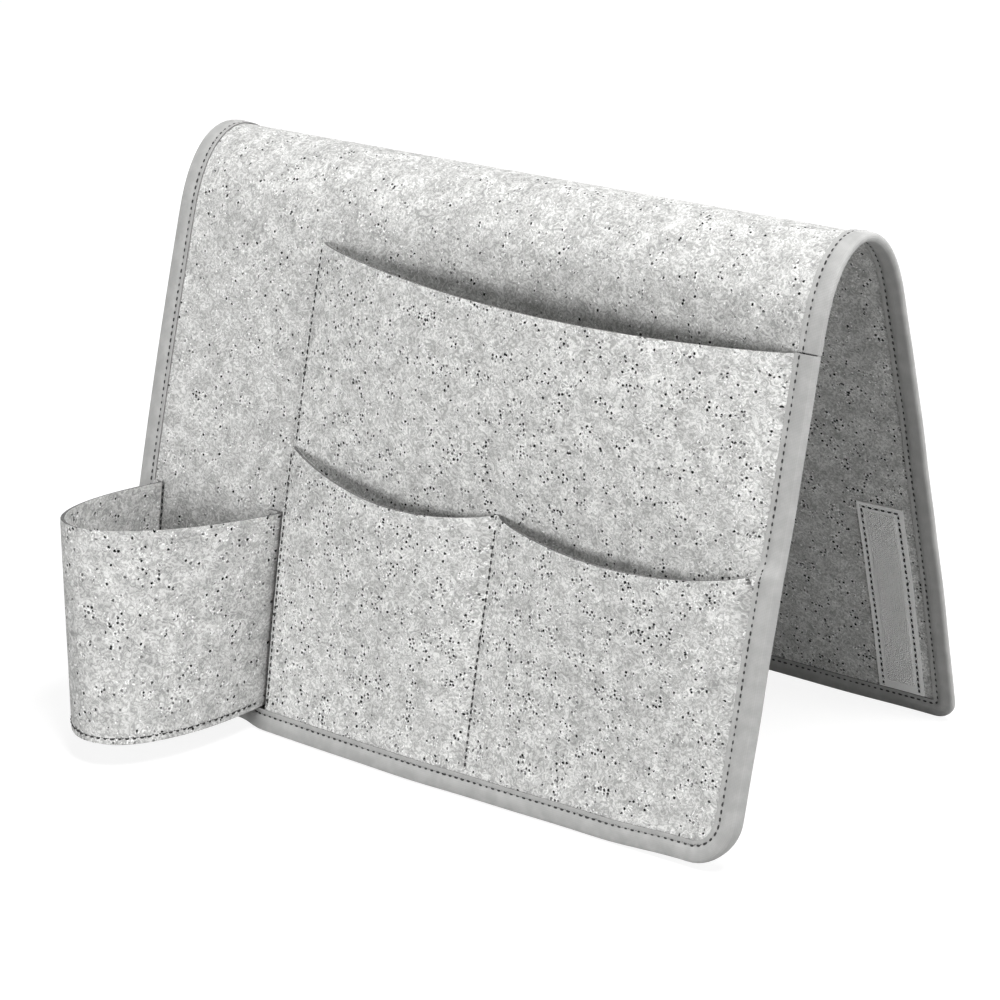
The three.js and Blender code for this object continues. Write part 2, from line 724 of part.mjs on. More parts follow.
// Back leaf, its binding and its hook strips
const backEdge = edgePath(backCornerRadius, foldDistance, foldDistance, []);
add(back, "back_leaf", leaf(-1, backCornerRadius), felt);
add(back, "back_binding", strip(backEdge, -1, plain, 1, 1), tape);
add(back, "back_binding_needle_thread", strip(backEdge, -1, plainStitch, 1, 1), thread);
add(back, "back_binding_bobbin_thread", strip(backEdge, -1, backStitch, 1, 1), thread);
for (const [name, sign] of [["left", -1], ["right", 1]]) {
  add(back, `hook_strip_${name}`, hookStrip(sign), hookTape);
  add(back, `hook_${name}_needle_thread`, stripStitches(sign, stripFace), thread);
  add(back, `hook_${name}_bobbin_thread`, stripStitches(sign, feltFace), thread);
}

// The origin lies under the middle of the whole organizer, on the floor.
const extent = new THREE.Box3().setFromObject(organizer);
const middlePoint = extent.getCenter(new THREE.Vector3());
organizer.position.set(-middlePoint.x, -middlePoint.y, -extent.min.z);
const part = new THREE.Group();
part.add(organizer);

export default part;
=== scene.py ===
# Felt armrest organizer: a panel bent over a ridge, with a tablet pocket, phone pockets and a hanging cup.
# Metres, +X along the ridge, -Y to the pocket side, +Z up. The organizer stands on z = 0.
import json
import math
import bpy
import numpy as np
from mathutils import Matrix, Vector


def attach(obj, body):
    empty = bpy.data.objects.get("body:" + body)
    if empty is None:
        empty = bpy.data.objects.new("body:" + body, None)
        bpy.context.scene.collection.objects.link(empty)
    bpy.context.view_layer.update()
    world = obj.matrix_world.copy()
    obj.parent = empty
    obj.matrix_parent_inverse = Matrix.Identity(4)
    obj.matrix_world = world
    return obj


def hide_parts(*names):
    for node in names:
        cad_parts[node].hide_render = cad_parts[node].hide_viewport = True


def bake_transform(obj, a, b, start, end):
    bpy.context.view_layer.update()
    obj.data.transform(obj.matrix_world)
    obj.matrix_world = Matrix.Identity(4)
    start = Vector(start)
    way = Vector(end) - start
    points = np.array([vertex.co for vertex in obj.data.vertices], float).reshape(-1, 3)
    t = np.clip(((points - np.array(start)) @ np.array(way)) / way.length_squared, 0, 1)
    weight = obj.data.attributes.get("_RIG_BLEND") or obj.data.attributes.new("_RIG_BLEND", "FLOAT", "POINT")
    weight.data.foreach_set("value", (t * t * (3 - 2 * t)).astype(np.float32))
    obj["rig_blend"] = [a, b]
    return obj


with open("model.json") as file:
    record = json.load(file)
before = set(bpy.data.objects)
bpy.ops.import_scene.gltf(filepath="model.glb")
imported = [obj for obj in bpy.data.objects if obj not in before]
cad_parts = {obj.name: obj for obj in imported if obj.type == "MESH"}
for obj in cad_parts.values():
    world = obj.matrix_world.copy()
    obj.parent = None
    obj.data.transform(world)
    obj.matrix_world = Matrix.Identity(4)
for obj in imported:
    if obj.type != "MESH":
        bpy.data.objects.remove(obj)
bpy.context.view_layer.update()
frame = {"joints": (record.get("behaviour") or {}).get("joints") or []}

# Panel and ridge
PANEL_WIDTH = 0.300
RIDGE_HEIGHT = 0.215
RIDGE_RADIUS = 0.0184
LEAF_TILT = math.radians(15.7)
FELT = 0.002
FRONT_CORNER = 0.017
BACK_CORNER = 0.0093

# Where the stiff felt isn't flat. A wave is given in radians for each metre across and along.
LEAF_BOW = 0.007
BOW_FULLNESS = 0.65
BOW_SKEW = 1.3
BOW_START = 0.030
BOW_DEEPEST = 0.074
FRONT_SWELL = 0.0026
BACK_SWELL = 0.0016
FOOT_SWELL = 0.0032
SWELL_START = 0.5
CORNER_CURL = 0.0014
CURL_REACH = 0.055
SLOW_RIPPLE = 0.00045
SLOW_WAVES = ((47, 31), (-17, 39))
QUICK_RIPPLE = 0.0002
QUICK_WAVES = ((113, -71), (29, 97))
RIPPLE_LEFT = -0.06
RIPPLE_START = 0.6
RIPPLE_RUN = 0.04

# Edge binding
TAPE = 0.0005
BINDING_WIDTH = 0.0085
BINDING_STITCH = 0.0066
BINDING_EDGE = 0.0021
BINDING_ROUND = 0.8
BINDING_CROWN = 0.00028
BINDING_GROOVE = 0.00030
GROOVE_WIDTH = 0.0007
STEP_RUN = 0.0025
FOOT_RUN = 0.016
TAPE_JOINT_GAP = 0.0004

# Pocket panels
POCKET_FELT = 0.0018
POCKET_EDGE = 0.0755
POCKET_SLANT = 0.0095
POCKET_SEAM_INSET = 0.002
FULLNESS = 0.8
BULGE_FULLNESS = 0.62
TABLET_LEFT = 0.0445
TABLET_RIGHT = 0.0495
TABLET_DROP = 0.007
TABLET_BULGE = 0.018
TABLET_CLOSED = 0.001
TABLET_CLOSING = 2.0
PHONE_HEIGHT = 0.1105
PHONE_DIVIDER_DROP = 0.006
PHONE_RIGHT_DROP = 0.0035
PHONE_DROP = 0.0085
PHONE_SKEW = 1.12
PHONE_RIGHT_FULLNESS = 0.8
PHONE_BULGE = 0.011
DIVIDER_DISTANCE = 0.101
DIVIDER_FLAT = 0.0012
DIVIDER_STITCH_INSET = 0.005

# Hanging cup
CUP_FELT = 0.002
CUP_EDGE = 0.0125
CUP_TAPER = 0.005
CUP_BASE_DEPTH = 0.068
CUP_RIM_DEPTH = 0.060
CUP_LEAN = 0.024
CUP_SQUARENESS = 2.1
CUP_LIFT = 0.009
CUP_HEIGHT = 0.0725
CUP_FLANGE = 0.007
CUP_LEFT_FLANGE = 0.0036
CUP_BEND = 0.0016
CUP_CORNER_STITCH = 0.0005
CUP_SEAT = 0.0025
CUP_FLOOR_FELT = 0.002
CUP_FLOOR_LIFT = 0.0013
CUP_FLOOR_GAP = 0.0008

# Hook strips. A hook's levels are shares of its height, with its radius and how far it has bent there.
STRIP_WIDTH = 0.020
STRIP_LENGTH = 0.088
STRIP_TAPE = 0.0007
STRIP_BORDER = 0.0036
STRIP_EDGE = 0.0125
STRIP_STITCH = 0.002
STRIP_GAP = 0.0006
HOOK_PITCH = 0.00095
HOOK_MARGIN = 0.0004
HOOK_HEIGHT = 0.0007
HOOK_SIDES = 6
HOOK_LEVELS = (
    (0.0, 0.00028, 0.0), (0.55, 0.00022, 0.00004),
    (0.85, 0.00032, 0.00012), (1.0, 0.00022, 0.00020),
)
HOOK_TURN = 0.5
HOOK_SCATTER = 0.00008
HOOK_SEED = 7

# Stitches. The sinks are how much of its height a stitch is pulled into the cloth.
STITCH_PITCH = 0.0028
STITCH_LENGTH = 0.0019
STITCH_WIDTH = 0.0009
STITCH_HEIGHT = 0.00042
STITCH_WAVE = 0.061
STITCH_LEAN = 0.09
STITCH_UNEVEN = 0.12
STITCH_REACH = 0.0006
TAPE_SINK = 0.5
FELT_SINK = 0.3
CUP_SINK = 0.1
PULL_SHARE = 0.6
BEAD_SEGMENTS = 8
BEAD_RINGS = 7
BEAD_SQUARENESS = 0.7
BEAD_GIRTH = 1.6
BEAD_THICKNESS = 0.55
BEAD_RISE = 0.45
BEAD_DIP = 2.6
HOLE_SIDES = 8
HOLE_RADIUS = 0.62 * STITCH_WIDTH
HOLE_SHORTNESS = 0.8
HOLE_TOP = 0.00003
HOLE_DISH = 0.00013
HOLE_DEPTH = 0.0003

# Clearances
LAYER_GAP = 0.00015
EDGE_GAP = 0.0002
FOOT_BLEND = 0.030

# How far the bend reaches from the ridge line when a leaf moves
BLEND_REACH = 0.034
BLEND_DROP = 0.016

# Mesh steps
FELT_STEP = 0.004
NEAR_RIDGE = (0.0, 0.0004, 0.0012, 0.0024)
CORNER_STEPS = 8
TAPE_STEP = 0.0028
TAPE_CORNER_STEPS = 13
LIP_STEPS = 11
EDGE_STEPS = 12
POCKET_STEP = 0.0042
POCKET_ROWS = 44
SEAM_STEP = 0.0011
SEAM_CLEAR = 0.0034
FLANGE_STEPS = 3
BEND_STEPS = 4
CUP_TURN_STEPS = 64
CUP_LOW_ROWS = (0.0, 0.012, 0.024, 0.034, 0.044, 0.056)
CUP_ROWS_FROM = 0.08
CUP_ROWS = 20
CUP_FLOOR_RINGS = 14
STRIP_COLUMNS = 10
STRIP_STEP = 0.002
SEAM_MARKS = 0.002
STRIP_MARKS = 0.003
ARCH_SUMS = 400
SHARP_EDGE = math.radians(55)
FELT_CREASE = 1.0
POCKET_CREASE = 0.7

# Where each piece was cut from the cloth, so that no two show the same specks or weave
TABLET_CUT = 0.31
PHONE_CUT = 0.83
CUP_CUT = -0.6
CUP_FLOOR_CUT = 2.0
BACK_TAPE_CUT = 1.3

# Looks. Specks and their fade behind the ridge are in millimetres of the flat pattern.
MILLIMETRES = 1000.0
GREY_BLUE = 0.992
DARK_SPECK = {"spacing": 1.6, "radius": 0.57, "shift": (0.0, 0.0, 0.0)}
PALE_SPECK = {"spacing": 1.5, "radius": 0.42, "shift": (37.0, 11.0, 5.0)}
PALE_SHARE = 0.08
SPECK_BEND = (0.9, 0.9, 0.9)
SPECK_FADE = (-80.0, -20.0)
# Cut edges are darkened as painted shade, standing in for the shadowed gaps at pocket mouths and tape lips.
# The panel's depth shift keeps this painted shade off its ridge joint.
PAINTED_SHADE_GREY = 0.05
PAINTED_EDGE_SHADE = 0.85
TAPE_PAINTED_EDGE_SHADE = 0.5
PANEL_DEPTH_SHIFT = 0.01

# Floor, light and camera
FLOOR_SIZE = 6.0
FLOOR_BOUNCE = 0.36
FLOOR_GLOW = 0.88
FLOOR_SHADED = 0.22
ROOM_LIGHT = 0.055
CAMERA_AZIMUTH = math.radians(37.528)
CAMERA_ELEVATION = math.radians(20.667)
CAMERA_ROLL = math.radians(-0.906)
CAMERA_DISTANCE = 1.23642
CAMERA_RIGHT = -0.011476
CAMERA_UP = 0.078935
SENSOR = 36.0
FOCAL_SHARE = 3.09064

# Sizes that follow from the ones above
HALF = PANEL_WIDTH / 2
FULL_TURN = math.pi / 2 - LEAF_TILT
ARCH = 2 * FULL_TURN * RIDGE_RADIUS
TOP = RIDGE_HEIGHT - FELT / 2
FELT_INSET = TAPE + EDGE_GAP
FELT_EDGE = HALF - FELT_INSET
FACE = FELT / 2
POCKET_LAYER = POCKET_FELT + LAYER_GAP
RIDGE_Y = sum(joint["pos_m"][1] for joint in frame["joints"]) / len(frame["joints"])
POCKET_LEFT = -HALF + POCKET_EDGE
POCKET_SEAM = POCKET_LEFT + POCKET_SEAM_INSET
POCKET_RIGHT = HALF - BINDING_WIDTH - LAYER_GAP
DIVIDER = POCKET_SEAM + DIVIDER_DISTANCE
CUP_LEFT = -HALF + CUP_EDGE
CUP_ENDS = FLANGE_STEPS + BEND_STEPS + 1


def turn_at(along):
    """How far the panel has turned down at a distance from the ridge line."""
    share = np.clip(along / ARCH, 0, 1)
    return 2 * FULL_TURN * (share - share**2 / 2)


ARCH_MARKS = np.linspace(0, ARCH, ARCH_SUMS + 1)
ARCH_TURNS = turn_at((ARCH_MARKS[1:] + ARCH_MARKS[:-1]) / 2)
ARCH_ACROSS = np.concatenate([[0], np.cumsum(np.cos(ARCH_TURNS)) * ARCH / ARCH_SUMS])
ARCH_DROP = np.concatenate([[0], np.cumsum(np.sin(ARCH_TURNS)) * ARCH / ARCH_SUMS])
FOOT = ARCH + (TOP - ARCH_DROP[-1]) / math.cos(LEAF_TILT)
PHONE_EDGE = FOOT - PHONE_HEIGHT
STRIP_FOOT = FOOT - BINDING_WIDTH - STRIP_GAP
STRIP_TOP = STRIP_FOOT - STRIP_LENGTH


# From the flat pattern to the folded panel
def smooth(share):
    share = np.clip(share, 0, 1)
    return share * share * (3 - 2 * share)


def swell(x, start, end, fullness=FULLNESS, skew=1.0):
    """A curve across the panel that is 0 at both ends and 1 at its fullest."""
    return np.sin(math.pi * np.clip((x - start) / (end - start), 0, 1) ** skew) ** fullness


def fading(along, start, end):
    return 1 - smooth((along - start) / (end - start))


def spaced(start, end, step):
    return np.linspace(start, end, max(2, int(math.ceil(abs(end - start) / step)) + 1))


def running_length(*coordinates):
    """The distance along a line of points, from its start."""
    steps = np.sqrt(sum(np.diff(values) ** 2 for values in coordinates))
    return np.concatenate([[0], np.cumsum(steps)])


def waves(x, along, first, second, phase):
    return np.sin(x * first[0] + along * first[1] + phase) * np.sin(x * second[0] + along * second[1])


def ripple(x, along, side):
    """The felt isn't quite flat: it waves by a fraction of a millimetre, but not where the cup is sewn on."""
    clear = smooth((x - RIPPLE_LEFT) / RIPPLE_RUN) if side > 0 else 1.0
    below = smooth((along - ARCH * RIPPLE_START) / RIPPLE_RUN)
    slow = SLOW_RIPPLE * waves(x, along, *SLOW_WAVES, side)
    quick = QUICK_RIPPLE * waves(x, along, *QUICK_WAVES, 2 * side)
    return clear * below * (slow + quick)


def swelling(x, along, side):
    """Bent felt is never quite straight: the back leaf, the front leaf's left edge and its foot swell out."""
    start = ARCH * SWELL_START
    down = np.clip((along - start) / (FOOT - start), 0, 1)
    if side < 0:
        return BACK_SWELL * np.sin(math.pi * down)
    left = smooth((POCKET_LEFT - x) / (POCKET_LEFT + HALF))
    middle = (1 - np.clip(np.abs(x) / HALF, 0, 1) ** 2) ** 2
    return FRONT_SWELL * left * np.sin(math.pi * down) + FOOT_SWELL * middle * smooth(down)


def corner_lift(x, along, side):
    """The front leaf's right foot corner curls up a little."""
    if side < 0:
        return 0.0
    near = smooth((x - HALF + CURL_REACH) / (CURL_REACH - FRONT_CORNER))
    return CORNER_CURL * near * smooth((along - FOOT + CURL_REACH) / CURL_REACH)


def place(x, along, out, side):
    """A point of the flat pattern, folded into place: side 1 is the front leaf and -1 the back leaf."""
    x, along, out = np.broadcast_arrays(*(np.asarray(v, float) for v in (x, along, out)))
    along = along - corner_lift(x, along, side)
    out = out + ripple(x, along, side) + swelling(x, along, side)
    slide = math.tan(LEAF_TILT) * smooth((along - FOOT + FOOT_BLEND) / FOOT_BLEND)
    at = along + slide * out
    bent = np.minimum(at, ARCH)
    across = np.interp(bent, ARCH_MARKS, ARCH_ACROSS) + math.sin(LEAF_TILT) * (at - bent)
    drop = np.interp(bent, ARCH_MARKS, ARCH_DROP) + math.cos(LEAF_TILT) * (at - bent)
    turn = turn_at(along)
    y = RIDGE_Y - side * (across + np.sin(turn) * out)
    z = TOP - drop + np.cos(turn) * out
    return np.stack([x, y, z], axis=-1)


def facing(x, along, out, side, towards):
    """The direction out of the felt, or into it, at a point of the flat pattern."""
    step = 1e-4
    way = place(x, along, out + step, side) - place(x, along, out - step, side)
    return towards * way / np.linalg.norm(way, axis=-1, keepdims=True)


# Nodes
def material(name):
    made = bpy.data.materials.new(name)
    made.use_nodes = True
    tree = made.node_tree
    shader = tree.nodes["Principled BSDF"]
    return made, tree, shader


def fill_socket(tree, socket, value):
    """A socket is linked and a value is set."""
    if isinstance(value, bpy.types.NodeSocket):
        tree.links.new(value, socket)
    else:
        socket.default_value = value


def add_node(tree, kind, settings=None, **inputs):
    """A node with its settings and its inputs, which are named, or numbered as i0, i1 and so on."""
    node = tree.nodes.new(kind)
    for key, value in (settings or {}).items():
        setattr(node, key, value)
    for key, value in inputs.items():
        name = int(key[1:]) if key[1:].isdigit() else key.replace("_", " ")
        fill_socket(tree, node.inputs[name], value)
    return node


def number(tree, operation, first, second=0.0):
    return add_node(tree, "ShaderNodeMath", {"operation": operation}, i0=first, i1=second).outputs[0]


def product(tree, first, *others):
    for other in others:
        first = number(tree, "MULTIPLY", first, other)
    return first


def weighted(tree, first, first_share, second, second_share):
    one = number(tree, "MULTIPLY", first, first_share)
    other = number(tree, "MULTIPLY", second, second_share)
    return number(tree, "ADD", one, other)


def between(tree, value, low, high, to_low=0.0, to_high=1.0):
    """A value taken from one range to another, smoothly and without overshoot."""
    settings = {"interpolation_type": "SMOOTHSTEP"}
    node = add_node(tree, "ShaderNodeMapRange", settings, i0=value, i1=low, i2=high, i3=to_low, i4=to_high)
    return node.outputs[0]


def tint(tree, share, first, second, blend="MIX"):
    settings = {"data_type": "RGBA", "blend_type": blend}
    return add_node(tree, "ShaderNodeMix", settings, i0=share, i6=first, i7=second).outputs[2]


def grey(level):
    return (level, level, level * GREY_BLUE, 1.0)


def noise(tree, where, **values):
    return add_node(tree, "ShaderNodeTexNoise", None, Vector=where, **values)


def bands(tree, where, direction, **values):
    settings = {"bands_direction": direction}
    return add_node(tree, "ShaderNodeTexWave", settings, Vector=where, **values).outputs["Fac"]


def relief(tree, shader, height, strength, distance):
    bump = add_node(tree, "ShaderNodeBump", None, Height=height, Strength=strength, Distance=distance)
    tree.links.new(bump.outputs[0], shader.inputs["Normal"])


def surface(shader, **values):
    for key, value in values.items():
        shader.inputs[key.replace("_", " ")].default_value = value


def pattern_millimetres(tree):
    """Where a point lies on its piece's flat pattern, in millimetres, and its depth in the cloth."""
    attribute = add_node(tree, "ShaderNodeAttribute", {"attribute_name": "pattern"})
    scale = {"operation": "SCALE"}
    where = add_node(tree, "ShaderNodeVectorMath", scale, i0=attribute.outputs["Vector"], Scale=MILLIMETRES)
    return where.outputs[0]


# Materials
def specks(tree, where, share, spacing, radius, shift):
    """Ragged spots in loose clusters, and the broken rings beside them: 1 inside and 0 elsewhere."""
    ragged = noise(tree, where, Scale=1.2, Detail=2.0)
    bend = {"operation": "MULTIPLY_ADD"}
    bent = add_node(tree, "ShaderNodeVectorMath", bend, i0=ragged.outputs["Color"], i1=SPECK_BEND, i2=where)
    moved = add_node(tree, "ShaderNodeVectorMath", {"operation": "ADD"}, i0=bent.outputs[0], i1=shift)
    cells = add_node(
        tree, "ShaderNodeTexVoronoi", None, Vector=moved.outputs[0], Scale=1 / spacing, Randomness=1.0,
    )
    distance = cells.outputs["Distance"]
    size = radius / spacing
    spot = between(tree, distance, low=1.05 * size, high=0.8 * size)
    beyond = between(tree, distance, low=1.15 * size, high=1.4 * size)
    within = between(tree, distance, low=2.1 * size, high=1.8 * size)
    broken = between(tree, ragged.outputs[0], low=0.52, high=0.60)
    random = add_node(tree, "ShaderNodeSeparateColor", None, Color=cells.outputs["Color"])
    strength = between(tree, random.outputs[1], low=0.0, high=0.6, to_low=0.6, to_high=1.0)
    cluster = noise(tree, where, Scale=0.13, Detail=2.0)
    plenty = between(tree, cluster.outputs[0], low=0.44, high=0.66, to_low=0.2, to_high=3.6)
    wanted = number(tree, "MULTIPLY", plenty, share)
    chosen = number(tree, "LESS_THAN", random.outputs[0], wanted)
    return product(tree, spot, strength, chosen), product(tree, beyond, within, broken, chosen)


def felt_material(name, painted_light_tone, dark_share, back_share=None):
    """Heather felt: soft grey tufts with dark and pale specks in loose clusters, and cut edges darkened as
    painted shade.

    A back share gives the panel another share of dark specks behind the ridge. A tone above 1 lightens a copy
    of the same felt as painted light, and one below 1 darkens it as painted shade.
    """
    made, tree, shader = material(name)
    where = pattern_millimetres(tree)
    _, along, depth = add_node(tree, "ShaderNodeSeparateXYZ", None, Vector=where).outputs
    if back_share:
        dark_share = between(tree, along, *SPECK_FADE, back_share, dark_share)
    tufts = noise(tree, where, Scale=0.42, Detail=2.0, Roughness=0.55, Distortion=2.2).outputs[0]
    fibres = noise(tree, where, Scale=1.0, Detail=1.5, Roughness=0.6, Distortion=2.4).outputs[0]
    clouds = noise(tree, where, Scale=0.15, Detail=2.0).outputs[0]
    mottle = weighted(tree, tufts, 0.68, fibres, 0.32)
    heather = tint(tree, between(tree, mottle, low=0.36, high=0.64), grey(0.37 * painted_light_tone), grey(0.75 * painted_light_tone))
    cloudy = tint(tree, between(tree, clouds, low=0.3, high=0.7), grey(0.84), grey(1.10))
    toned = tint(tree, 1.0, heather, cloudy, "MULTIPLY")
    dark, beside = specks(tree, where, dark_share, **DARK_SPECK)
    pale, _ = specks(tree, where, PALE_SHARE, **PALE_SPECK)
    flecked = tint(tree, number(tree, "MAXIMUM", pale, beside), toned, grey(0.97 * min(painted_light_tone, 1.0)))
    speckled = tint(tree, dark, flecked, grey(0.005))
    # Painted shade: the cut edge is darkened towards grey, for the shadowed gap behind a pocket's mouth.
    painted_edge_shade = between(tree, number(tree, "ABSOLUTE", depth), low=0.88, high=0.70, to_high=PAINTED_EDGE_SHADE)
    tree.links.new(tint(tree, painted_edge_shade, speckled, grey(PAINTED_SHADE_GREY)), shader.inputs["Base Color"])
    relief(tree, shader, weighted(tree, fibres, 0.6, tufts, 0.7), strength=0.4, distance=0.0005)
    surface(shader, Roughness=0.95, Specular_IOR_Level=0.15, Sheen_Weight=0.12, Sheen_Roughness=0.5)
    return made


def tape_material():
    """Woven tape: fine ribs across and yarns along, a little worn, with cut edges darkened as painted shade.
    """
    made, tree, shader = material("woven binding tape")
    where = pattern_millimetres(tree)
    ribs = bands(tree, where, "Y", Scale=0.62, Distortion=0.5, Detail=1.0)
    yarns = bands(tree, where, "X", Scale=0.5, Distortion=0.4, Detail=1.0)
    wear = noise(tree, where, Scale=0.16, Detail=3.0).outputs[0]
    weave = weighted(tree, ribs, 0.7, yarns, 0.3)
    woven = tint(tree, weave, grey(0.385), grey(0.465))
    worn = tint(tree, between(tree, wear, low=0.35, high=0.7), grey(0.90), grey(1.05))
    toned = tint(tree, 1.0, woven, worn, "MULTIPLY")
    depth = add_node(tree, "ShaderNodeSeparateXYZ", None, Vector=where).outputs[2]
    # Painted shade: the tape's cut edge is darkened, for the shade along its lips.
    painted_edge_shade = between(tree, number(tree, "ABSOLUTE", depth), low=0.24, high=0.18, to_high=TAPE_PAINTED_EDGE_SHADE)
    tree.links.new(tint(tree, painted_edge_shade, toned, grey(PAINTED_SHADE_GREY)), shader.inputs["Base Color"])
    relief(tree, shader, weave, strength=0.35, distance=0.0001)
    surface(shader, Roughness=0.7, Specular_IOR_Level=0.3, Sheen_Weight=0.15, Sheen_Roughness=0.4)
    return made


def hook_material():
    """Hook tape: pale ribbed nylon with fine wear."""
    made, tree, shader = material("hook tape")
    where = pattern_millimetres(tree)
    ribs = bands(tree, where, "X", Scale=0.45, Distortion=0.6, Detail=1.0)
    wear = noise(tree, where, Scale=0.5, Detail=3.0).outputs[0]
    mixed = weighted(tree, ribs, 0.4, wear, 0.6)
    tree.links.new(tint(tree, mixed, grey(0.92), grey(0.99)), shader.inputs["Base Color"])
    relief(tree, shader, mixed, strength=0.4, distance=0.0002)
    surface(shader, Roughness=0.6, Specular_IOR_Level=0.35)
    return made


def thread_material(name, low, high):
    """Twisted thread: its plies run aslant."""
    made, tree, shader = material(name)
    plies = bands(tree, pattern_millimetres(tree), "DIAGONAL", Scale=0.9, Distortion=0.4)
    tree.links.new(tint(tree, plies, grey(low), grey(high)), shader.inputs["Base Color"])
    relief(tree, shader, plies, strength=0.4, distance=0.0001)
    surface(shader, Roughness=0.65, Specular_IOR_Level=0.3)
    return made


def floor_material():
    """The camera sees a white floor with the shadow on it. Other rays meet a grey one."""
    made, tree, shader = material("white floor")
    surface(shader, Base_Color=grey(FLOOR_BOUNCE), Roughness=0.9, Specular_IOR_Level=0.0)
    path = add_node(tree, "ShaderNodeLightPath").outputs["Is Camera Ray"]
    glow = add_node(tree, "ShaderNodeEmission", None, Strength=FLOOR_GLOW)
    shaded = add_node(tree, "ShaderNodeBsdfDiffuse", None, Color=grey(FLOOR_SHADED))
    seen = add_node(tree, "ShaderNodeAddShader", None, i0=glow.outputs[0], i1=shaded.outputs[0])
    mixed = add_node(tree, "ShaderNodeMixShader", None, Fac=path, i1=shader.outputs[0], i2=seen.outputs[0])
    tree.links.new(mixed.outputs[0], tree.nodes["Material Output"].inputs["Surface"])
    return made


# Copies of one felt: the pocket copies are lightened as painted light and the cup copy darkened as painted
# shade, for how light falls on each piece.
FELT_LOOK = felt_material("heather felt", painted_light_tone=1.0, dark_share=0.08, back_share=0.2)
PHONE_LOOK = felt_material("phone pocket felt lightened as painted light", painted_light_tone=1.05, dark_share=0.215)
TABLET_LOOK = felt_material("tablet pocket felt lightened as painted light", painted_light_tone=1.13, dark_share=0.2)
CUP_LOOK = felt_material("cup felt darkened as painted shade", painted_light_tone=0.88, dark_share=0.12)
TAPE_LOOK = tape_material()
HOOK_LOOK = hook_material()
THREAD_LOOK = thread_material("sewing thread", low=0.015, high=0.05)
HOLE_LOOK = thread_material("needle hole", low=0.012, high=0.03)


# Sheets
def grid_piece(name, columns, rows):
    """A flat grid, with the column and the row of each of its points."""
    bpy.ops.object.select_all(action="DESELECT")
    bpy.ops.mesh.primitive_grid_add(x_subdivisions=columns, y_subdivisions=rows, size=2)
    piece = bpy.context.object
    piece.name = name
    flat = np.empty(len(piece.data.vertices) * 3)
    piece.data.vertices.foreach_get("co", flat)
    flat = flat.reshape(-1, 3)
    column = np.rint((flat[:, 0] + 1) / 2 * columns).astype(int)
    row = np.rint((flat[:, 1] + 1) / 2 * rows).astype(int)
    return piece, column, row


def apply_modifier(piece, kind, **settings):
    made = piece.modifiers.new(kind.title(), kind)
    for key, value in settings.items():
        setattr(made, key, value)
    bpy.context.view_layer.objects.active = piece
    bpy.ops.object.modifier_apply(modifier=made.name)


def set_pattern(piece, values):
    attributes = piece.data.attributes
    layer = attributes.get("pattern") or attributes.new("pattern", "FLOAT_VECTOR", "POINT")
    layer.data.foreach_set("vector", np.ascontiguousarray(values, np.float32).ravel())


def finish_piece(piece, looks):
    bpy.ops.object.select_all(action="DESELECT")
    piece.select_set(True)
    bpy.context.view_layer.objects.active = piece
    bpy.ops.object.shade_smooth()
    piece.data.materials.clear()
    for look in looks:
        piece.data.materials.append(look)


def finish_sheet(piece, points, pattern, thickness, look, levels=1, crease=0.0, depth_shift=0.0):
    """The grid takes its shape, then its thickness on both sides, then a finer surface.

    The pattern's depth tells the faces from the cut edge, which the materials darken as painted shade. A
    depth shift leaves the edge as pale as the faces.
    """
    piece.data.vertices.foreach_set("co", np.ascontiguousarray(points, float).ravel())
    piece.data.update()
    apply_modifier(
        piece, "SOLIDIFY", thickness=thickness, offset=0.0, use_even_offset=True,
        edge_crease_inner=crease, edge_crease_outer=crease,
    )
    depth = np.full(len(points), thickness / 2)
    upper = np.column_stack([pattern, depth_shift + depth])
    lower = np.column_stack([pattern, depth_shift - depth])
    set_pattern(piece, np.vstack([upper, lower]))
    if levels:
        apply_modifier(piece, "SUBSURF", levels=levels, render_levels=levels)
    finish_piece(piece, [look])
    bpy.ops.object.shade_smooth_by_angle(angle=SHARP_EDGE)


def bend_with(piece, side):
    """The piece follows the ridge at its upper end and the leaf below, and bends in between."""
    leaf = "front_panel" if side > 0 else "back_panel"
    bend_end = (0.0, RIDGE_Y - side * BLEND_REACH, TOP - BLEND_DROP)
    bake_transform(piece, "ridge", leaf, (0.0, RIDGE_Y, TOP), bend_end)


# Felt panel, one half in front of the ridge line and one behind it
def half_width(along, radius, inset):
    below = np.clip(along - (FOOT - radius), 0, radius - inset)
    return HALF - radius + np.sqrt(np.maximum((radius - inset) ** 2 - below**2, 0))


def leaf_bow(x, along):
    """The front leaf sinks in behind the mouth of the tablet pocket."""
    sinking = smooth((along - BOW_START) / (BOW_DEEPEST - BOW_START))
    across = swell(x, POCKET_SEAM, POCKET_RIGHT, BOW_FULLNESS, BOW_SKEW)
    return LEAF_BOW * across * sinking * fading(along, BOW_DEEPEST, PHONE_EDGE)


def felt_leaf(name, side, radius):
    angles = np.linspace(0, math.pi / 2, CORNER_STEPS + 1)[1:]
    corner = FOOT - radius + (radius - FELT_INSET) * np.sin(angles)
    rows = np.concatenate([NEAR_RIDGE, spaced(FELT_STEP, FOOT - radius, FELT_STEP), corner])
    columns = int(PANEL_WIDTH / FELT_STEP)
    piece, column, row = grid_piece(name, columns, len(rows) - 1)
    along = rows[row]
    x = (2 * column / columns - 1) * half_width(along, radius, FELT_INSET)
    pattern = np.column_stack([x, along * side])
    out = -leaf_bow(x, along) if side > 0 else 0.0
    points = place(x, along, out, side)
    finish_sheet(
        piece, points, pattern, FELT, FELT_LOOK, crease=FELT_CREASE, depth_shift=PANEL_DEPTH_SHIFT,
    )
    return piece


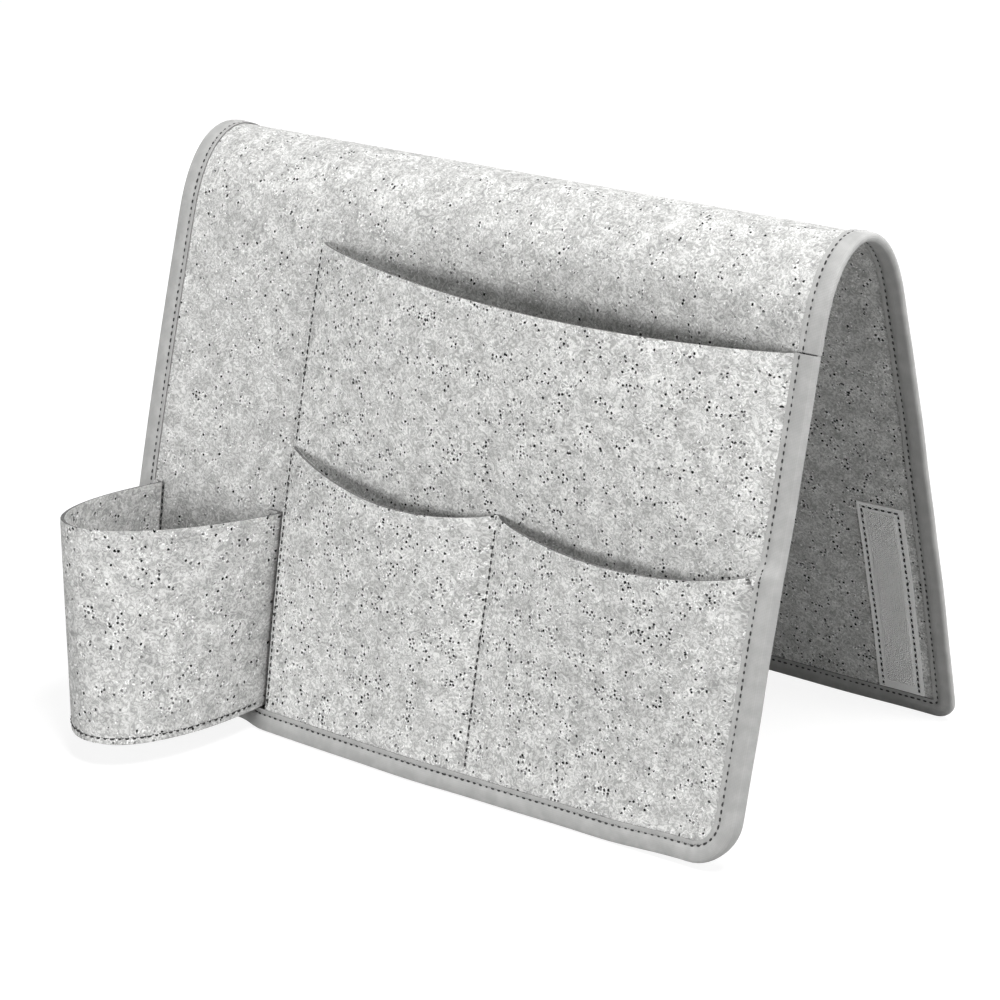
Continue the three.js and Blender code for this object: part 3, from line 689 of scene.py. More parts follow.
# Binding tape. A station on its path has its place on the pattern and the direction into the panel.
def layers_at(x, along):
    """Layers of pocket felt under the front binding."""
    foot_left = POCKET_LEFT + slant_at(POCKET_LEFT, FOOT - BINDING_WIDTH) - LAYER_GAP
    beside = np.clip((x - (foot_left - FOOT_RUN)) / FOOT_RUN, 0, 1)
    tablet = np.where(along > TABLET_RIGHT - 2 * LAYER_GAP, 1.0, 0.0)
    phones = np.clip((along - (PHONE_EDGE + PHONE_RIGHT_DROP - LAYER_GAP - STEP_RUN)) / STEP_RUN, 0, 1)
    return smooth(beside) * (tablet + smooth(phones))


def side_path(sign, start, end):
    """Stations down one side of a leaf."""
    along = spaced(start, end, TAPE_STEP)
    flat = np.zeros_like(along)
    return np.column_stack([flat + sign * HALF, along, flat - sign, flat])


def corner_path(sign, radius):
    angles = np.linspace(0, math.pi / 2, TAPE_CORNER_STEPS + 1)[1:-1]
    return np.column_stack([
        sign * (HALF - radius + radius * np.cos(angles)),
        FOOT - radius + radius * np.sin(angles),
        -sign * np.cos(angles),
        -np.sin(angles),
    ])


def edge_path(radius, right_from, left_from):
    """Stations round a leaf's edge: down the right side, along the floor and up the left side."""
    x = spaced(HALF - radius, radius - HALF, TAPE_STEP)
    floor = np.column_stack([x, np.full_like(x, FOOT), np.zeros_like(x), np.full_like(x, -1.0)])
    right = side_path(1, right_from, FOOT - radius)
    left = side_path(-1, left_from, FOOT - radius)
    return np.vstack([right, corner_path(1, radius), floor, corner_path(-1, radius)[::-1], left[::-1]])


def lip_height(across):
    """The binding's face swells between its edge and its stitches, and dips under the stitches."""
    share = np.clip((across - BINDING_EDGE) / (BINDING_STITCH - BINDING_EDGE), 0, 1)
    crown = BINDING_CROWN * np.sin(math.pi * share)
    groove = BINDING_GROOVE * np.exp(-(((across - BINDING_STITCH) / GROOVE_WIDTH) ** 2))
    return crown - groove


def binding_section(layers):
    """The folded tape's middle line, from its back lip to its front lip: distances in and out."""
    front = FACE + LAYER_GAP + layers[:, None] * POCKET_LAYER + TAPE / 2
    back = -(FACE + LAYER_GAP + TAPE / 2) + 0 * front
    lip = np.linspace(BINDING_WIDTH, BINDING_EDGE, LIP_STEPS)[None, :]
    turn = np.linspace(-math.pi / 2, math.pi / 2, EDGE_STEPS + 1)[None, 1:-1]
    middle = (front + back) / 2
    half = (front - back) / 2
    round_in = BINDING_EDGE - (BINDING_EDGE - TAPE / 2) * np.abs(np.cos(turn)) ** BINDING_ROUND
    round_out = middle + half * np.sign(np.sin(turn)) * np.abs(np.sin(turn)) ** BINDING_ROUND
    ones = np.ones_like(front)
    across = np.hstack([lip * ones, round_in * ones, lip[:, ::-1] * ones])
    out = np.hstack([back - lip_height(lip), round_out, front + lip_height(lip[:, ::-1])])
    return across, out


def path_layers(path, layered):
    return layers_at(path[:, 0], path[:, 1]) if layered else np.zeros(len(path))


def binding(name, path, side, layered):
    """The tape along a path, with its cut length and its cut width."""
    across, out = binding_section(path_layers(path, layered))
    piece, column, row = grid_piece(name, across.shape[1] - 1, len(path) - 1)
    inward = across[row, column]
    x = path[row, 0] + path[row, 2] * inward
    along = path[row, 1] + path[row, 3] * inward
    points = place(x, np.maximum(along, 0), out[row, column], side)
    run = running_length(path[:, 0], path[:, 1])
    girth = running_length(across[0], out[0])
    cut = 0.0 if side > 0 else BACK_TAPE_CUT
    pattern = np.column_stack([girth[column], run[row] + cut])
    finish_sheet(piece, points, pattern, TAPE, TAPE_LOOK, levels=0)
    return piece, run[-1], girth[-1]


# Pockets
def slant_at(x, along):
    """How far the slanting pocket edge, and what lies near it, moves right."""
    share = np.clip((along - TABLET_LEFT) / (FOOT - TABLET_LEFT), 0, 1)
    nearness = np.clip((FELT_EDGE - x) / (FELT_EDGE - POCKET_LEFT), 0, 1)
    return POCKET_SLANT * share**2 * nearness


def tablet_mouth(x):
    share = np.clip((x - POCKET_SEAM) / (POCKET_RIGHT - POCKET_SEAM), 0, 1)
    end = TABLET_LEFT + (TABLET_RIGHT - TABLET_LEFT) * share
    return end + TABLET_DROP * swell(x, POCKET_SEAM, POCKET_RIGHT)


def phone_swell(x, fullness=FULLNESS):
    left = swell(x, POCKET_SEAM, DIVIDER - DIVIDER_FLAT, fullness, PHONE_SKEW)
    right = swell(x, DIVIDER + DIVIDER_FLAT, POCKET_RIGHT, fullness * PHONE_RIGHT_FULLNESS, PHONE_SKEW)
    return np.where(x < DIVIDER, left, right)


def phone_mouth(x):
    span = np.where(x < DIVIDER, DIVIDER - POCKET_SEAM, POCKET_RIGHT - DIVIDER)
    end = np.where(x < DIVIDER, PHONE_EDGE, PHONE_EDGE + PHONE_RIGHT_DROP)
    near = 1 - np.clip(np.abs(x - DIVIDER) / span, 0, 1)
    level = end + (PHONE_EDGE + PHONE_DIVIDER_DROP - end) * near
    return level + PHONE_DROP * phone_swell(x)


def tablet_out(x, along):
    """The tablet pocket stays full and closes just above the mouths of the phone pockets."""
    bulge = TABLET_BULGE * swell(x, POCKET_SEAM, POCKET_RIGHT, BULGE_FULLNESS)
    closed = phone_mouth(x) - TABLET_CLOSED
    closing = np.clip((along - TABLET_LEFT) / (closed - TABLET_LEFT), 0, 1)
    return FACE + LAYER_GAP + bulge * (1 - closing**TABLET_CLOSING)


def phone_out(x, along):
    closing = fading(along, PHONE_EDGE, FOOT - BINDING_WIDTH - LAYER_GAP)
    bulge = PHONE_BULGE * phone_swell(x, BULGE_FULLNESS) * closing
    return tablet_out(x, along) + POCKET_LAYER + bulge


def pocket_columns(seams):
    """Columns across a pocket, closer together beside its seams."""
    even = spaced(POCKET_LEFT, FELT_EDGE, POCKET_STEP)
    close = [seam + SEAM_STEP * step for seam in seams for step in range(-2, 3)]
    marks = [mark for mark in even if min(abs(mark - seam) for seam in seams) > SEAM_CLEAR]
    inside = [mark for mark in close if POCKET_LEFT < mark < FELT_EDGE]
    return np.array(sorted({POCKET_LEFT, FELT_EDGE, *marks, *inside}))


def pocket(name, columns, mouth, out_at, look, cut):
    """A pocket panel from its mouth to the foot. Its last rows follow the rounded corner."""
    piece, column, row = grid_piece(name, len(columns) - 1, POCKET_ROWS + CORNER_STEPS)
    nominal = columns[column]
    top = mouth(nominal)
    corner_top = FOOT - FRONT_CORNER
    angle = math.pi / 2 * (row - POCKET_ROWS) / CORNER_STEPS
    in_corner = corner_top + (FOOT - FELT_INSET - corner_top) * np.sin(np.maximum(angle, 0))
    above = top + (corner_top - top) * np.minimum(row / POCKET_ROWS, 1)
    along = np.where(row <= POCKET_ROWS, above, in_corner)
    right = half_width(along, FRONT_CORNER, FELT_INSET)
    share = (nominal - POCKET_LEFT) / (FELT_EDGE - POCKET_LEFT)
    x = POCKET_LEFT + (right - POCKET_LEFT) * share + slant_at(nominal, along)
    out = out_at(nominal, along) + POCKET_FELT / 2
    pattern = np.column_stack([x + cut, along + cut])
    finish_sheet(piece, place(x, along, out, 1), pattern, POCKET_FELT, look, crease=POCKET_CREASE)
    return piece


# Cup
def slope_at(z):
    return FOOT - z / math.cos(LEAF_TILT)


def on_leaf(x, out, z):
    """The depth of a point in front of the leaf: near the leaf it follows the swelling of the felt."""
    along = slope_at(z)
    flat = place(-HALF, along, FACE, 1)[..., 1] + swelling(-HALF, along, 1) * math.cos(LEAF_TILT)
    beside = swelling(np.clip(x, CUP_LEFT, POCKET_LEFT), along, 1) * math.cos(LEAF_TILT)
    lean = FACE * math.tan(LEAF_TILT) * math.sin(LEAF_TILT)
    return flat - lean + out - beside * (1 - smooth(-out / CUP_RIM_DEPTH))


def cup_right(lift):
    edge = POCKET_LEFT + slant_at(POCKET_LEFT, slope_at(CUP_LIFT + CUP_HEIGHT * lift))
    return edge - CUP_SEAT - CUP_FELT / 2


def cup_line(lift):
    """The cup wall's middle line in plan, from the end of its right flange to the end of its left one."""
    flange = LAYER_GAP + CUP_FELT / 2
    depth = CUP_BASE_DEPTH + (CUP_RIM_DEPTH - CUP_BASE_DEPTH) * lift - flange - CUP_BEND
    left = CUP_LEFT + CUP_TAPER * (1 - lift)
    right = cup_right(lift)
    bends = np.linspace(0, math.pi / 2, BEND_STEPS + 1)
    bend_in = CUP_BEND * (1 - np.cos(bends))
    bend_out = -flange - CUP_BEND * (1 - np.sin(bends))
    angle = np.linspace(0, math.pi, CUP_TURN_STEPS + 1)[1:-1]
    side = np.sign(np.cos(angle)) * np.abs(np.cos(angle)) ** (2 / CUP_SQUARENESS)
    out = depth * np.sin(angle) ** (2 / CUP_SQUARENESS)
    wall_x = right - (right - left) / 2 * (1 - side) - CUP_LEAN * lift * out / depth
    right_flange = np.linspace(right - CUP_FLANGE, right - CUP_BEND, FLANGE_STEPS + 1)[:-1]
    left_flange = np.linspace(left - CUP_BEND, left - CUP_LEFT_FLANGE, FLANGE_STEPS + 1)[1:]
    level = np.full(FLANGE_STEPS, -flange)
    x = np.concatenate([right_flange, (right - bend_in)[::-1], wall_x, left - bend_in, left_flange])
    y = np.concatenate([level, bend_out[::-1], -flange - CUP_BEND - out, bend_out, level])
    return x, y


def cup_round(lift):
    """The cup wall's middle line without its bends and flanges."""
    x, y = cup_line(lift)
    return x[CUP_ENDS:-CUP_ENDS], y[CUP_ENDS:-CUP_ENDS]


def cup_wall(name):
    """The cup's wall with its flanges, and its cut length."""
    rows = np.concatenate([CUP_LOW_ROWS, np.linspace(CUP_ROWS_FROM, 1, CUP_ROWS)])
    lines = [cup_line(lift) for lift in rows]
    x = np.array([line[0] for line in lines])
    y = np.array([line[1] for line in lines])
    z = CUP_LIFT + CUP_HEIGHT * rows
    y = on_leaf(x, y, z[:, None])
    piece, column, row = grid_piece(name, x.shape[1] - 1, len(rows) - 1)
    points = np.column_stack([x[row, column], y[row, column], z[row]])
    middle = len(rows) // 2
    run = running_length(x[middle], y[middle])
    pattern = np.column_stack([run[column] + CUP_CUT, z[row]])
    finish_sheet(piece, points, pattern, CUP_FELT, CUP_LOOK, crease=POCKET_CREASE)
    return piece, run[-1]


def cup_floor(name):
    """A felt disc inside the wall, made as rows from its straight back edge out to its round one."""
    low = CUP_LIFT + CUP_FLOOR_LIFT
    top = low + CUP_FLOOR_FELT
    x, y = cup_round((top - CUP_LIFT) / CUP_HEIGHT)
    y = on_leaf(x, y, top)
    back = on_leaf(x, -CUP_FELT - 3 * LAYER_GAP, low).min()
    y = np.minimum(y, back)
    centre_x = (x[0] + x[-1]) / 2
    centre_y = (y.min() + y.max()) / 2
    inset = CUP_FELT / 2 + CUP_FLOOR_GAP
    kept = 1 - inset / np.hypot(x - centre_x, y - centre_y)
    edge_x = centre_x + (x - centre_x) * kept
    edge_y = centre_y + (y - centre_y) * kept
    back_x = np.linspace(edge_x[0], edge_x[-1], len(x))
    piece, column, row = grid_piece(name, len(x) - 1, CUP_FLOOR_RINGS)
    share = row / CUP_FLOOR_RINGS
    px = back_x[column] + (edge_x[column] - back_x[column]) * share
    py = back + (edge_y[column] - back) * share
    points = np.column_stack([px, py, np.full(len(px), (low + top) / 2)])
    pattern = np.column_stack([px, py + CUP_FLOOR_CUT])
    finish_sheet(piece, points, pattern, CUP_FLOOR_FELT, FELT_LOOK, levels=0)
    return piece


# Small shapes that are modelled once and copied
def taken_apart(shape):
    """The points and faces of a modelled shape, which is then removed."""
    points = np.array([vertex.co for vertex in shape.data.vertices])
    faces = [tuple(face.vertices) for face in shape.data.polygons]
    bpy.data.objects.remove(shape)
    return points, faces


def piece_of_copies(name, copies, faces):
    """One mesh of many copies of a shape, from the points of each copy."""
    count, size = copies.shape[:2]
    all_faces = [tuple(point + i * size for point in face) for i in range(count) for face in faces]
    mesh = bpy.data.meshes.new(name)
    mesh.from_pydata(copies.reshape(-1, 3).tolist(), [], all_faces)
    piece = bpy.data.objects.new(name, mesh)
    bpy.context.scene.collection.objects.link(piece)
    return piece


def stitch_bead():
    """The thread of one stitch, lying along X: a bent bead whose ends go into the cloth."""
    bpy.ops.object.select_all(action="DESELECT")
    bpy.ops.mesh.primitive_uv_sphere_add(
        segments=BEAD_SEGMENTS, ring_count=BEAD_RINGS, radius=1.0, rotation=(0, math.pi / 2, 0),
    )
    bpy.ops.object.transform_apply(rotation=True)
    points, faces = taken_apart(bpy.context.object)
    along = points[:, 0]
    squared = np.sign(along) * np.abs(along) ** BEAD_SQUARENESS
    girth = np.sqrt(np.maximum(1 - along**4, 0.0)) / np.sqrt(np.maximum(1 - along**2, 1e-6))
    girth = np.where(np.abs(along) > 0.999, 1.0, np.minimum(girth, BEAD_GIRTH))
    rise = BEAD_RISE - np.abs(squared) ** BEAD_DIP
    shaped = np.column_stack([
        squared * STITCH_LENGTH / 2,
        points[:, 1] * girth * STITCH_WIDTH / 2,
        points[:, 2] * girth * STITCH_HEIGHT * BEAD_THICKNESS + STITCH_HEIGHT * rise,
    ])
    return shaped, faces


def needle_hole():
    """The needle hole at one end of a stitch: a short plug with a dished top, sunk into the cloth."""
    bpy.ops.object.select_all(action="DESELECT")
    middle = (STITCH_PITCH / 2, 0, HOLE_TOP - HOLE_DEPTH / 2)
    bpy.ops.mesh.primitive_cylinder_add(
        vertices=HOLE_SIDES, radius=HOLE_RADIUS, depth=HOLE_DEPTH, location=middle,
    )
    hole = bpy.context.object
    hole.scale = (HOLE_SHORTNESS, 1, 1)
    bpy.ops.object.transform_apply(location=True, rotation=True, scale=True)
    bpy.ops.object.mode_set(mode="EDIT")
    bpy.ops.mesh.select_mode(type="FACE")
    bpy.ops.mesh.select_all(action="DESELECT")
    bpy.ops.object.mode_set(mode="OBJECT")
    for face in hole.data.polygons:
        face.select = face.normal.z > 0.9
    bpy.ops.object.mode_set(mode="EDIT")
    bpy.ops.mesh.poke(offset=-HOLE_DISH)
    bpy.ops.object.mode_set(mode="OBJECT")
    return taken_apart(hole)


def hook_shape():
    """One hook, extruded upwards from its six-sided foot: the stem widens into a bent head."""
    bpy.ops.object.select_all(action="DESELECT")
    foot = HOOK_LEVELS[0][1]
    turned = (0, 0, math.pi / HOOK_SIDES)
    bpy.ops.mesh.primitive_circle_add(vertices=HOOK_SIDES, radius=foot, fill_type="NGON", rotation=turned)
    hook = bpy.context.object
    bpy.ops.object.transform_apply(rotation=True)
    bpy.ops.object.mode_set(mode="EDIT")
    bpy.ops.mesh.select_mode(type="FACE")
    bpy.ops.mesh.select_all(action="SELECT")
    for (low, wide, start), (high, wider, end) in zip(HOOK_LEVELS, HOOK_LEVELS[1:]):
        step = (0, end - start, (high - low) * HOOK_HEIGHT)
        growth = wider / wide
        bpy.ops.mesh.extrude_region_move(TRANSFORM_OT_translate={"value": step})
        bpy.ops.transform.resize(value=(growth, growth, 1), center_override=(0, end, high * HOOK_HEIGHT))
    bpy.ops.mesh.select_all(action="SELECT")
    bpy.ops.mesh.normals_make_consistent(inside=False)
    bpy.ops.object.mode_set(mode="OBJECT")
    return taken_apart(hook)


# Stitches
BEAD_POINTS, BEAD_FACES = stitch_bead()
HOLE_POINTS, HOLE_FACES = needle_hole()
STITCH_POINTS = np.vstack([BEAD_POINTS, HOLE_POINTS])
STITCH_FACES = BEAD_FACES + [tuple(point + len(BEAD_POINTS) for point in face) for face in HOLE_FACES]
STITCH_KINDS = [0] * len(BEAD_FACES) + [1] * len(HOLE_FACES)
STITCH_HELD = np.repeat([1.0, 0.0], [len(BEAD_POINTS), len(HOLE_POINTS)])


def along_line(at, run, values):
    return np.column_stack([np.interp(at, run, values[:, i]) for i in range(3)])


def unit(vectors):
    return vectors / np.linalg.norm(vectors, axis=1, keepdims=True)


def stitch_row(name, line, normals, sink=FELT_SINK):
    """A row of stitches along a line of points. Some are pulled deeper into the cloth than others."""
    run = running_length(*line.T)
    count = max(2, int(run[-1] / STITCH_PITCH))
    middles = (np.arange(count) + 0.5) * run[-1] / count
    at = along_line(middles, run, line)
    way = unit(along_line(middles + STITCH_REACH, run, line) - along_line(middles - STITCH_REACH, run, line))
    up = along_line(middles, run, normals)
    up = unit(up - way * np.sum(up * way, axis=1, keepdims=True))
    beside = np.cross(up, way)
    random = np.random.default_rng(len(name) * 1000 + count)
    lean = random.normal(0, STITCH_LEAN, count)[:, None]
    length = random.normal(1.0, STITCH_UNEVEN, count)[:, None]
    pull = 0.5 + 0.5 * np.sin(2 * math.pi * (middles / STITCH_WAVE + random.uniform()))
    loose = random.uniform(0, 1, count)
    sunk = sink * STITCH_HEIGHT * (PULL_SHARE * pull + (1 - PULL_SHARE) * loose)
    local = np.repeat(STITCH_POINTS[None], count, axis=0)
    local[..., 2] -= sunk[:, None] * STITCH_HELD
    slanted = (way + beside * lean) * length
    across = beside - way * lean
    copies = at[:, None] + slanted[:, None] * local[..., :1]
    copies = copies + across[:, None] * local[..., 1:2] + up[:, None] * local[..., 2:]
    piece = piece_of_copies(name, copies, STITCH_FACES)
    piece.data.polygons.foreach_set("material_index", STITCH_KINDS * count)
    pattern = np.tile(STITCH_POINTS, (count, 1))
    pattern[:, 0] += np.repeat(middles, len(STITCH_POINTS))
    set_pattern(piece, pattern)
    piece.data.update()
    finish_piece(piece, [THREAD_LOOK, HOLE_LOOK])
    return piece


def seam_stitches(name, x, along, out, side, towards, sink=FELT_SINK):
    x, along, out = np.broadcast_arrays(*(np.asarray(v, float) for v in (x, along, out)))
    return stitch_row(name, place(x, along, out, side), facing(x, along, out, side, towards), sink)


def binding_stitches(name, path, side, layered, towards):
    face = FACE + LAYER_GAP + TAPE - BINDING_GROOVE
    out = face + path_layers(path, layered) * POCKET_LAYER if towards > 0 else -face
    x = path[:, 0] + path[:, 2] * BINDING_STITCH
    along = path[:, 1] + path[:, 3] * BINDING_STITCH
    return seam_stitches(name, x, along, out, side, towards, TAPE_SINK)


def on_tablet(x, along):
    return tablet_out(x, along) + POCKET_FELT


def on_phones(x, along):
    return phone_out(x, along) + POCKET_FELT


def on_inside(x, along):
    return 0 * along - FACE


def pocket_seam(name, x, start, end, out_at, towards):
    along = spaced(start, end, SEAM_MARKS)
    out = out_at(np.full_like(along, x), along)
    return seam_stitches(name, x + slant_at(x, along), along, out, 1, towards)


def cup_seam(name, upper_x, lower_x, towards, corner=None):
    """Stitches through a flange. A corner distance adds a second row, back up the inner corner beside it."""
    top = slope_at(CUP_LIFT + CUP_HEIGHT - STRIP_STITCH)
    foot = slope_at(CUP_LIFT + CUP_FLOOR_LIFT + CUP_FLOOR_FELT + STRIP_STITCH)
    along = spaced(top, foot, SEAM_MARKS)
    x = np.linspace(upper_x, lower_x, len(along))
    on_flange = FACE + (LAYER_GAP + CUP_FELT) * math.cos(LEAF_TILT)
    out = np.full_like(x, on_flange if towards > 0 else -FACE)
    if corner:
        x = np.concatenate([x, x[::-1] + corner])
        along = np.concatenate([along, along[::-1]])
        out = np.concatenate([out, np.full_like(out, FACE)])
    return seam_stitches(name, x, along, out, 1, towards, CUP_SINK)


def cup_floor_stitches(name):
    height = CUP_FLOOR_LIFT + CUP_FLOOR_FELT / 2
    x, y = cup_round(height / CUP_HEIGHT)
    way = unit(np.column_stack([np.gradient(x), np.gradient(y)]))
    out = np.column_stack([-way[:, 1], way[:, 0], 0 * x])
    z = CUP_LIFT + height
    line = np.column_stack([x, on_leaf(x, y, z), np.full_like(x, z)]) + out * CUP_FELT / 2
    return stitch_row(name, line, out)


# Hook strips
def hook_strip(name, sign):
    rows = spaced(STRIP_TOP, STRIP_FOOT, STRIP_STEP)
    piece, column, row = grid_piece(name, STRIP_COLUMNS, len(rows) - 1)
    x = sign * (HALF - STRIP_EDGE - STRIP_WIDTH * column / STRIP_COLUMNS)
    along = rows[row]
    points = place(x, along, -FACE - LAYER_GAP - STRIP_TAPE / 2, -1)
    pattern = np.column_stack([x, along])
    finish_sheet(piece, points, pattern, STRIP_TAPE, HOOK_LOOK, levels=0)
    return piece


def hook_field(name, sign):
    """Rows of hooks between the strip's borders. Every other hook faces the other way."""
    shape, shape_faces = hook_shape()
    inset = STRIP_BORDER + HOOK_MARGIN
    across = np.arange(STRIP_EDGE + inset, STRIP_EDGE + STRIP_WIDTH - inset, HOOK_PITCH)
    down = np.arange(STRIP_TOP + inset, STRIP_FOOT - inset, HOOK_PITCH)
    across, down = (grid.ravel() for grid in np.meshgrid(across, down))
    count = len(across)
    random = np.random.default_rng(HOOK_SEED + sign)
    turn = random.uniform(-HOOK_TURN, HOOK_TURN, count) + math.pi * (np.arange(count) % 2)
    x = sign * (HALF - across) + random.normal(0, HOOK_SCATTER, count)
    out = np.full(count, -FACE - LAYER_GAP - STRIP_TAPE)
    at = place(x, down, out, -1)
    up = facing(x, down, out, -1, -1)
    way = np.tile([1.0, 0.0, 0.0], (count, 1))
    beside = np.cross(up, way)
    cos = np.cos(turn)[:, None]
    sin = np.sin(turn)[:, None]
    first = way * cos + beside * sin
    second = beside * cos - way * sin
    copies = at[:, None] + first[:, None] * shape[:, :1]
    copies = copies + second[:, None] * shape[:, 1:2] + up[:, None] * shape[:, 2:]
    piece = piece_of_copies(name, copies, shape_faces)
    size = len(shape)
    pattern = np.column_stack([np.repeat(x, size), np.repeat(down, size), np.tile(shape[:, 2], count)])
    set_pattern(piece, pattern)
    piece.data.update()
    finish_piece(piece, [HOOK_LOOK])
    return piece


def strip_stitches(name, sign, out, towards):
    """Stitches up one side of a strip, over its top and down the other side."""
    outer = HALF - STRIP_EDGE - STRIP_STITCH
    inner = HALF - STRIP_EDGE - STRIP_WIDTH + STRIP_STITCH
    upper = STRIP_TOP + STRIP_STITCH
    down = spaced(upper, STRIP_FOOT - STRIP_GAP, STRIP_MARKS)
    over = spaced(outer, inner, STRIP_MARKS)
    x = np.concatenate([np.full_like(down, outer), over[1:], np.full_like(down, inner)[1:]])
    along = np.concatenate([down[::-1], np.full_like(over, upper)[1:], down[1:]])
    return seam_stitches(name, sign * x, along, out, -1, towards)


# Making the panel and its binding
felt_front = felt_leaf("felt_front", 1, FRONT_CORNER)
felt_back = felt_leaf("felt_back", -1, BACK_CORNER)
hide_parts("front_leaf", "ridge_band")
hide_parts("back_leaf")

tape_joint = float(tablet_mouth(np.array(FELT_EDGE))) - LAYER_GAP
front_path = edge_path(FRONT_CORNER, tape_joint, 0.0)
right_path = side_path(1, 0.0, tape_joint - TAPE_JOINT_GAP)
back_path = edge_path(BACK_CORNER, 0.0, 0.0)
tape_front, tape_front_length, tape_width = binding("tape_front", front_path, 1, True)
tape_upper, tape_upper_length, _ = binding("tape_front_upper", right_path, 1, False)
tape_back, tape_back_length, _ = binding("tape_back", back_path, -1, False)
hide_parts("front_binding", "ridge_binding_left")
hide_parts("front_binding_upper", "ridge_binding_right")
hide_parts("back_binding")

# For each tape: its path, its side, whether it lies over the pockets, and the CAD nodes of its stitches
binding_rows = {
    "front": (front_path, 1, True, ("front_binding", "ridge_left")),
    "upper": (right_path, 1, False, ("front_upper", "ridge_right")),
    "back": (back_path, -1, False, ("back_binding",)),
}
edge_stitches = {}
for tape, (path, side, layered, nodes) in binding_rows.items():
    for face, thread, towards in (("outer", "needle", 1), ("inner", "bobbin", -1)):
        name = f"stitches_{tape}_{face}"
        edge_stitches[name] = binding_stitches(name, path, side, layered, towards)
        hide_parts(*(f"{node}_{thread}_thread" for node in nodes))
        bend_with(edge_stitches[name], side)
for piece, side in ((felt_front, 1), (felt_back, -1), (tape_front, 1), (tape_upper, 1), (tape_back, -1)):
    bend_with(piece, side)

# Making the pockets and the cup
tablet_columns = pocket_columns([POCKET_SEAM, POCKET_RIGHT])
phone_columns = pocket_columns([POCKET_SEAM, DIVIDER, POCKET_RIGHT])
tablet_pocket = pocket("pocket_tablet", tablet_columns, tablet_mouth, tablet_out, TABLET_LOOK, TABLET_CUT)
phone_pockets = pocket("pocket_phones", phone_columns, phone_mouth, phone_out, PHONE_LOOK, PHONE_CUT)
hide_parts("tablet_pocket")
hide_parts("phone_pockets")

wall, wall_length = cup_wall("cup_felt")
floor_disc = cup_floor("cup_floor_felt")
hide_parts("cup_wall")
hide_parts("cup_base")

# For each pocket seam's CAD node: place across, from, to, the face it lies on, outwards or inwards
seam_x = (POCKET_LEFT + POCKET_SEAM) / 2
seam_foot = FOOT - BINDING_WIDTH - POCKET_SEAM_INSET
tablet_top = TABLET_LEFT + POCKET_SEAM_INSET
divider_top = float(phone_mouth(np.array(DIVIDER))) + DIVIDER_STITCH_INSET
front_rows = {
    "tablet_seam_needle_thread": (seam_x, tablet_top, PHONE_EDGE - POCKET_SEAM_INSET, on_tablet, 1),
    "phone_seam_needle_thread": (seam_x, PHONE_EDGE + POCKET_SEAM_INSET, seam_foot, on_phones, 1),
    "pocket_seam_bobbin_thread": (seam_x, tablet_top, seam_foot, on_inside, -1),
    "divider_needle_thread": (DIVIDER, divider_top, seam_foot, on_phones, 1),
    "divider_bobbin_thread": (DIVIDER, divider_top, seam_foot, on_inside, -1),
}
front_stitches = {}
for node, row in front_rows.items():
    name = "stitches_" + node.replace("_thread", "")
    front_stitches[name] = pocket_seam(name, *row)
    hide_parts(node)

# For each cup seam: its upper and lower place across, and the way to the second row of its outer stitches
left_inset = (CUP_LEFT_FLANGE + CUP_BEND) / 2
right_inset = (CUP_FLANGE + CUP_BEND) / 2
cup_seams = {
    "left": (CUP_LEFT - left_inset, CUP_LEFT + CUP_TAPER - left_inset, left_inset + CUP_CORNER_STITCH),
    "right": (float(cup_right(1.0)) - right_inset, float(cup_right(0.0)) - right_inset, None),
}
for end, (upper_x, lower_x, corner) in cup_seams.items():
    for thread, towards, second_row in (("needle", 1, corner), ("bobbin", -1, None)):
        name = f"stitches_cup_{end}_{thread}"
        front_stitches[name] = cup_seam(name, upper_x, lower_x, towards, second_row)
        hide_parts(f"cup_{end}_{thread}_thread")
front_stitches["stitches_cup_floor"] = cup_floor_stitches("stitches_cup_floor")
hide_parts("cup_base_thread")

for piece in (tablet_pocket, phone_pockets, wall, floor_disc, *front_stitches.values()):
    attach(piece, "front_panel")

# Making the hook strips
strip_threads = (("needle", -FACE - LAYER_GAP - STRIP_TAPE, -1), ("bobbin", FACE, 1))
strips = {}
for end, sign in (("left", -1), ("right", 1)):
    strip = hook_strip(f"hook_tape_{end}", sign)
    field = hook_field(f"hooks_{end}", sign)
    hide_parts(f"hook_strip_{end}")
    strips[end] = [strip, field]
    for thread, out, towards in strip_threads:
        row = strip_stitches(f"stitches_hook_{end}_{thread}", sign, out, towards)
        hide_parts(f"hook_{end}_{thread}_thread")
        strips[end].append(row)
    for piece in strips[end]:
        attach(piece, "back_panel")


# Floor, light and camera
def soft_light(name, stands, aim, size, watts):
    lamp = bpy.data.lights.new(name, "AREA")
    lamp.shape = "DISK"
    lamp.size = size
    lamp.energy = watts
    holder = bpy.data.objects.new(name, lamp)
    bpy.context.scene.collection.objects.link(holder)
    holder.location = stands
    way = Vector(aim) - Vector(stands)
    holder.rotation_euler = way.to_track_quat("-Z", "Y").to_euler()


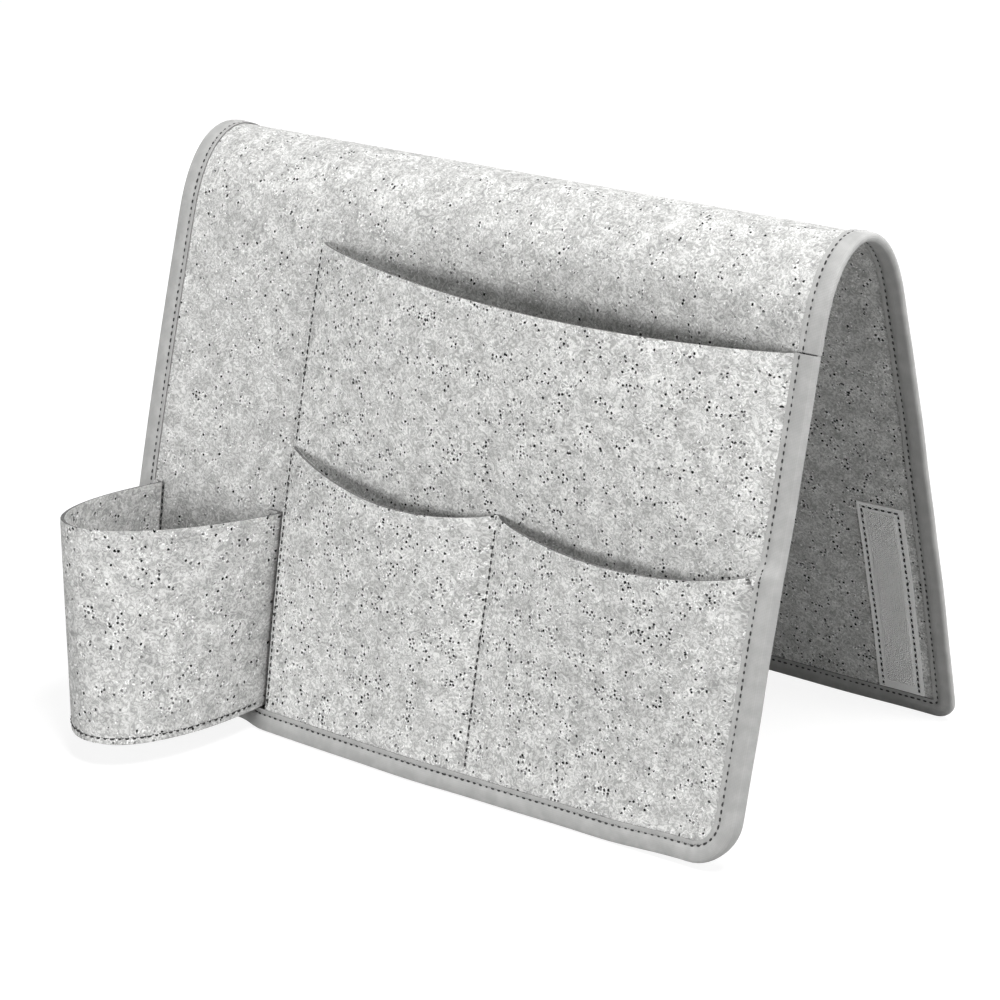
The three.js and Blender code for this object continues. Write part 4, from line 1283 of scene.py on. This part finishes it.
def room_light():
    """A white room for the camera and for reflections, and a weak light for everything else."""
    world = bpy.data.worlds.new("studio")
    bpy.context.scene.world = world
    world.use_nodes = True
    tree = world.node_tree
    path = add_node(tree, "ShaderNodeLightPath").outputs
    seen = number(tree, "MAXIMUM", path["Is Camera Ray"], path["Is Glossy Ray"])
    seen = number(tree, "MAXIMUM", seen, path["Is Transmission Ray"])
    backdrop = tree.nodes["Background"]
    backdrop.inputs["Color"].default_value = (1, 1, 1, 1)
    strength = between(tree, seen, low=0.0, high=1.0, to_low=ROOM_LIGHT)
    tree.links.new(strength, backdrop.inputs["Strength"])


def camera_matrix():
    """The camera's right, up and back directions and its place, from its angles round the ridge."""
    turn = CAMERA_AZIMUTH
    rise = CAMERA_ELEVATION
    back = np.array([math.sin(turn) * math.cos(rise), -math.cos(turn) * math.cos(rise), math.sin(rise)])
    level = np.array([math.cos(turn), math.sin(turn), 0.0])
    upright = np.cross(back, level)
    right = math.cos(CAMERA_ROLL) * level + math.sin(CAMERA_ROLL) * upright
    up = math.cos(CAMERA_ROLL) * upright - math.sin(CAMERA_ROLL) * level
    spot = CAMERA_RIGHT * right + CAMERA_UP * up + CAMERA_DISTANCE * back + np.array([0, RIDGE_Y, 0])
    rows = np.column_stack([right, up, back, spot])
    return Matrix([*rows.tolist(), [0, 0, 0, 1]])


bpy.ops.object.select_all(action="DESELECT")
bpy.ops.mesh.primitive_plane_add(size=FLOOR_SIZE)
ground = bpy.context.object
ground.name = "ground"
ground.data.materials.append(floor_material())

soft_light("front", stands=(-0.4, -1.48, 0.14), aim=(0, 0, 0.1), size=0.8, watts=20)
soft_light("top", stands=(0.5, 0.1, 1.7), aim=(0, 0, 0.1), size=0.9, watts=36)
soft_light("right", stands=(1.15, -0.65, 0.16), aim=(0.1, 0.05, 0.06), size=0.5, watts=3.0)
soft_light("side", stands=(1.3, 0.45, 0.2), aim=(0.12, 0.05, 0.08), size=0.5, watts=7.5)
soft_light("back", stands=(-0.6, 1.4, 0.5), aim=(0, 0.05, 0.1), size=0.8, watts=8.0)
room_light()

camera = bpy.data.cameras.new("camera")
camera.sensor_width = SENSOR
camera.lens = FOCAL_SHARE * SENSOR
viewer = bpy.data.objects.new("camera", camera)
bpy.context.scene.collection.objects.link(viewer)
viewer.matrix_world = camera_matrix()
bpy.context.scene.camera = viewer
bpy.context.scene.view_settings.view_transform = "Standard"
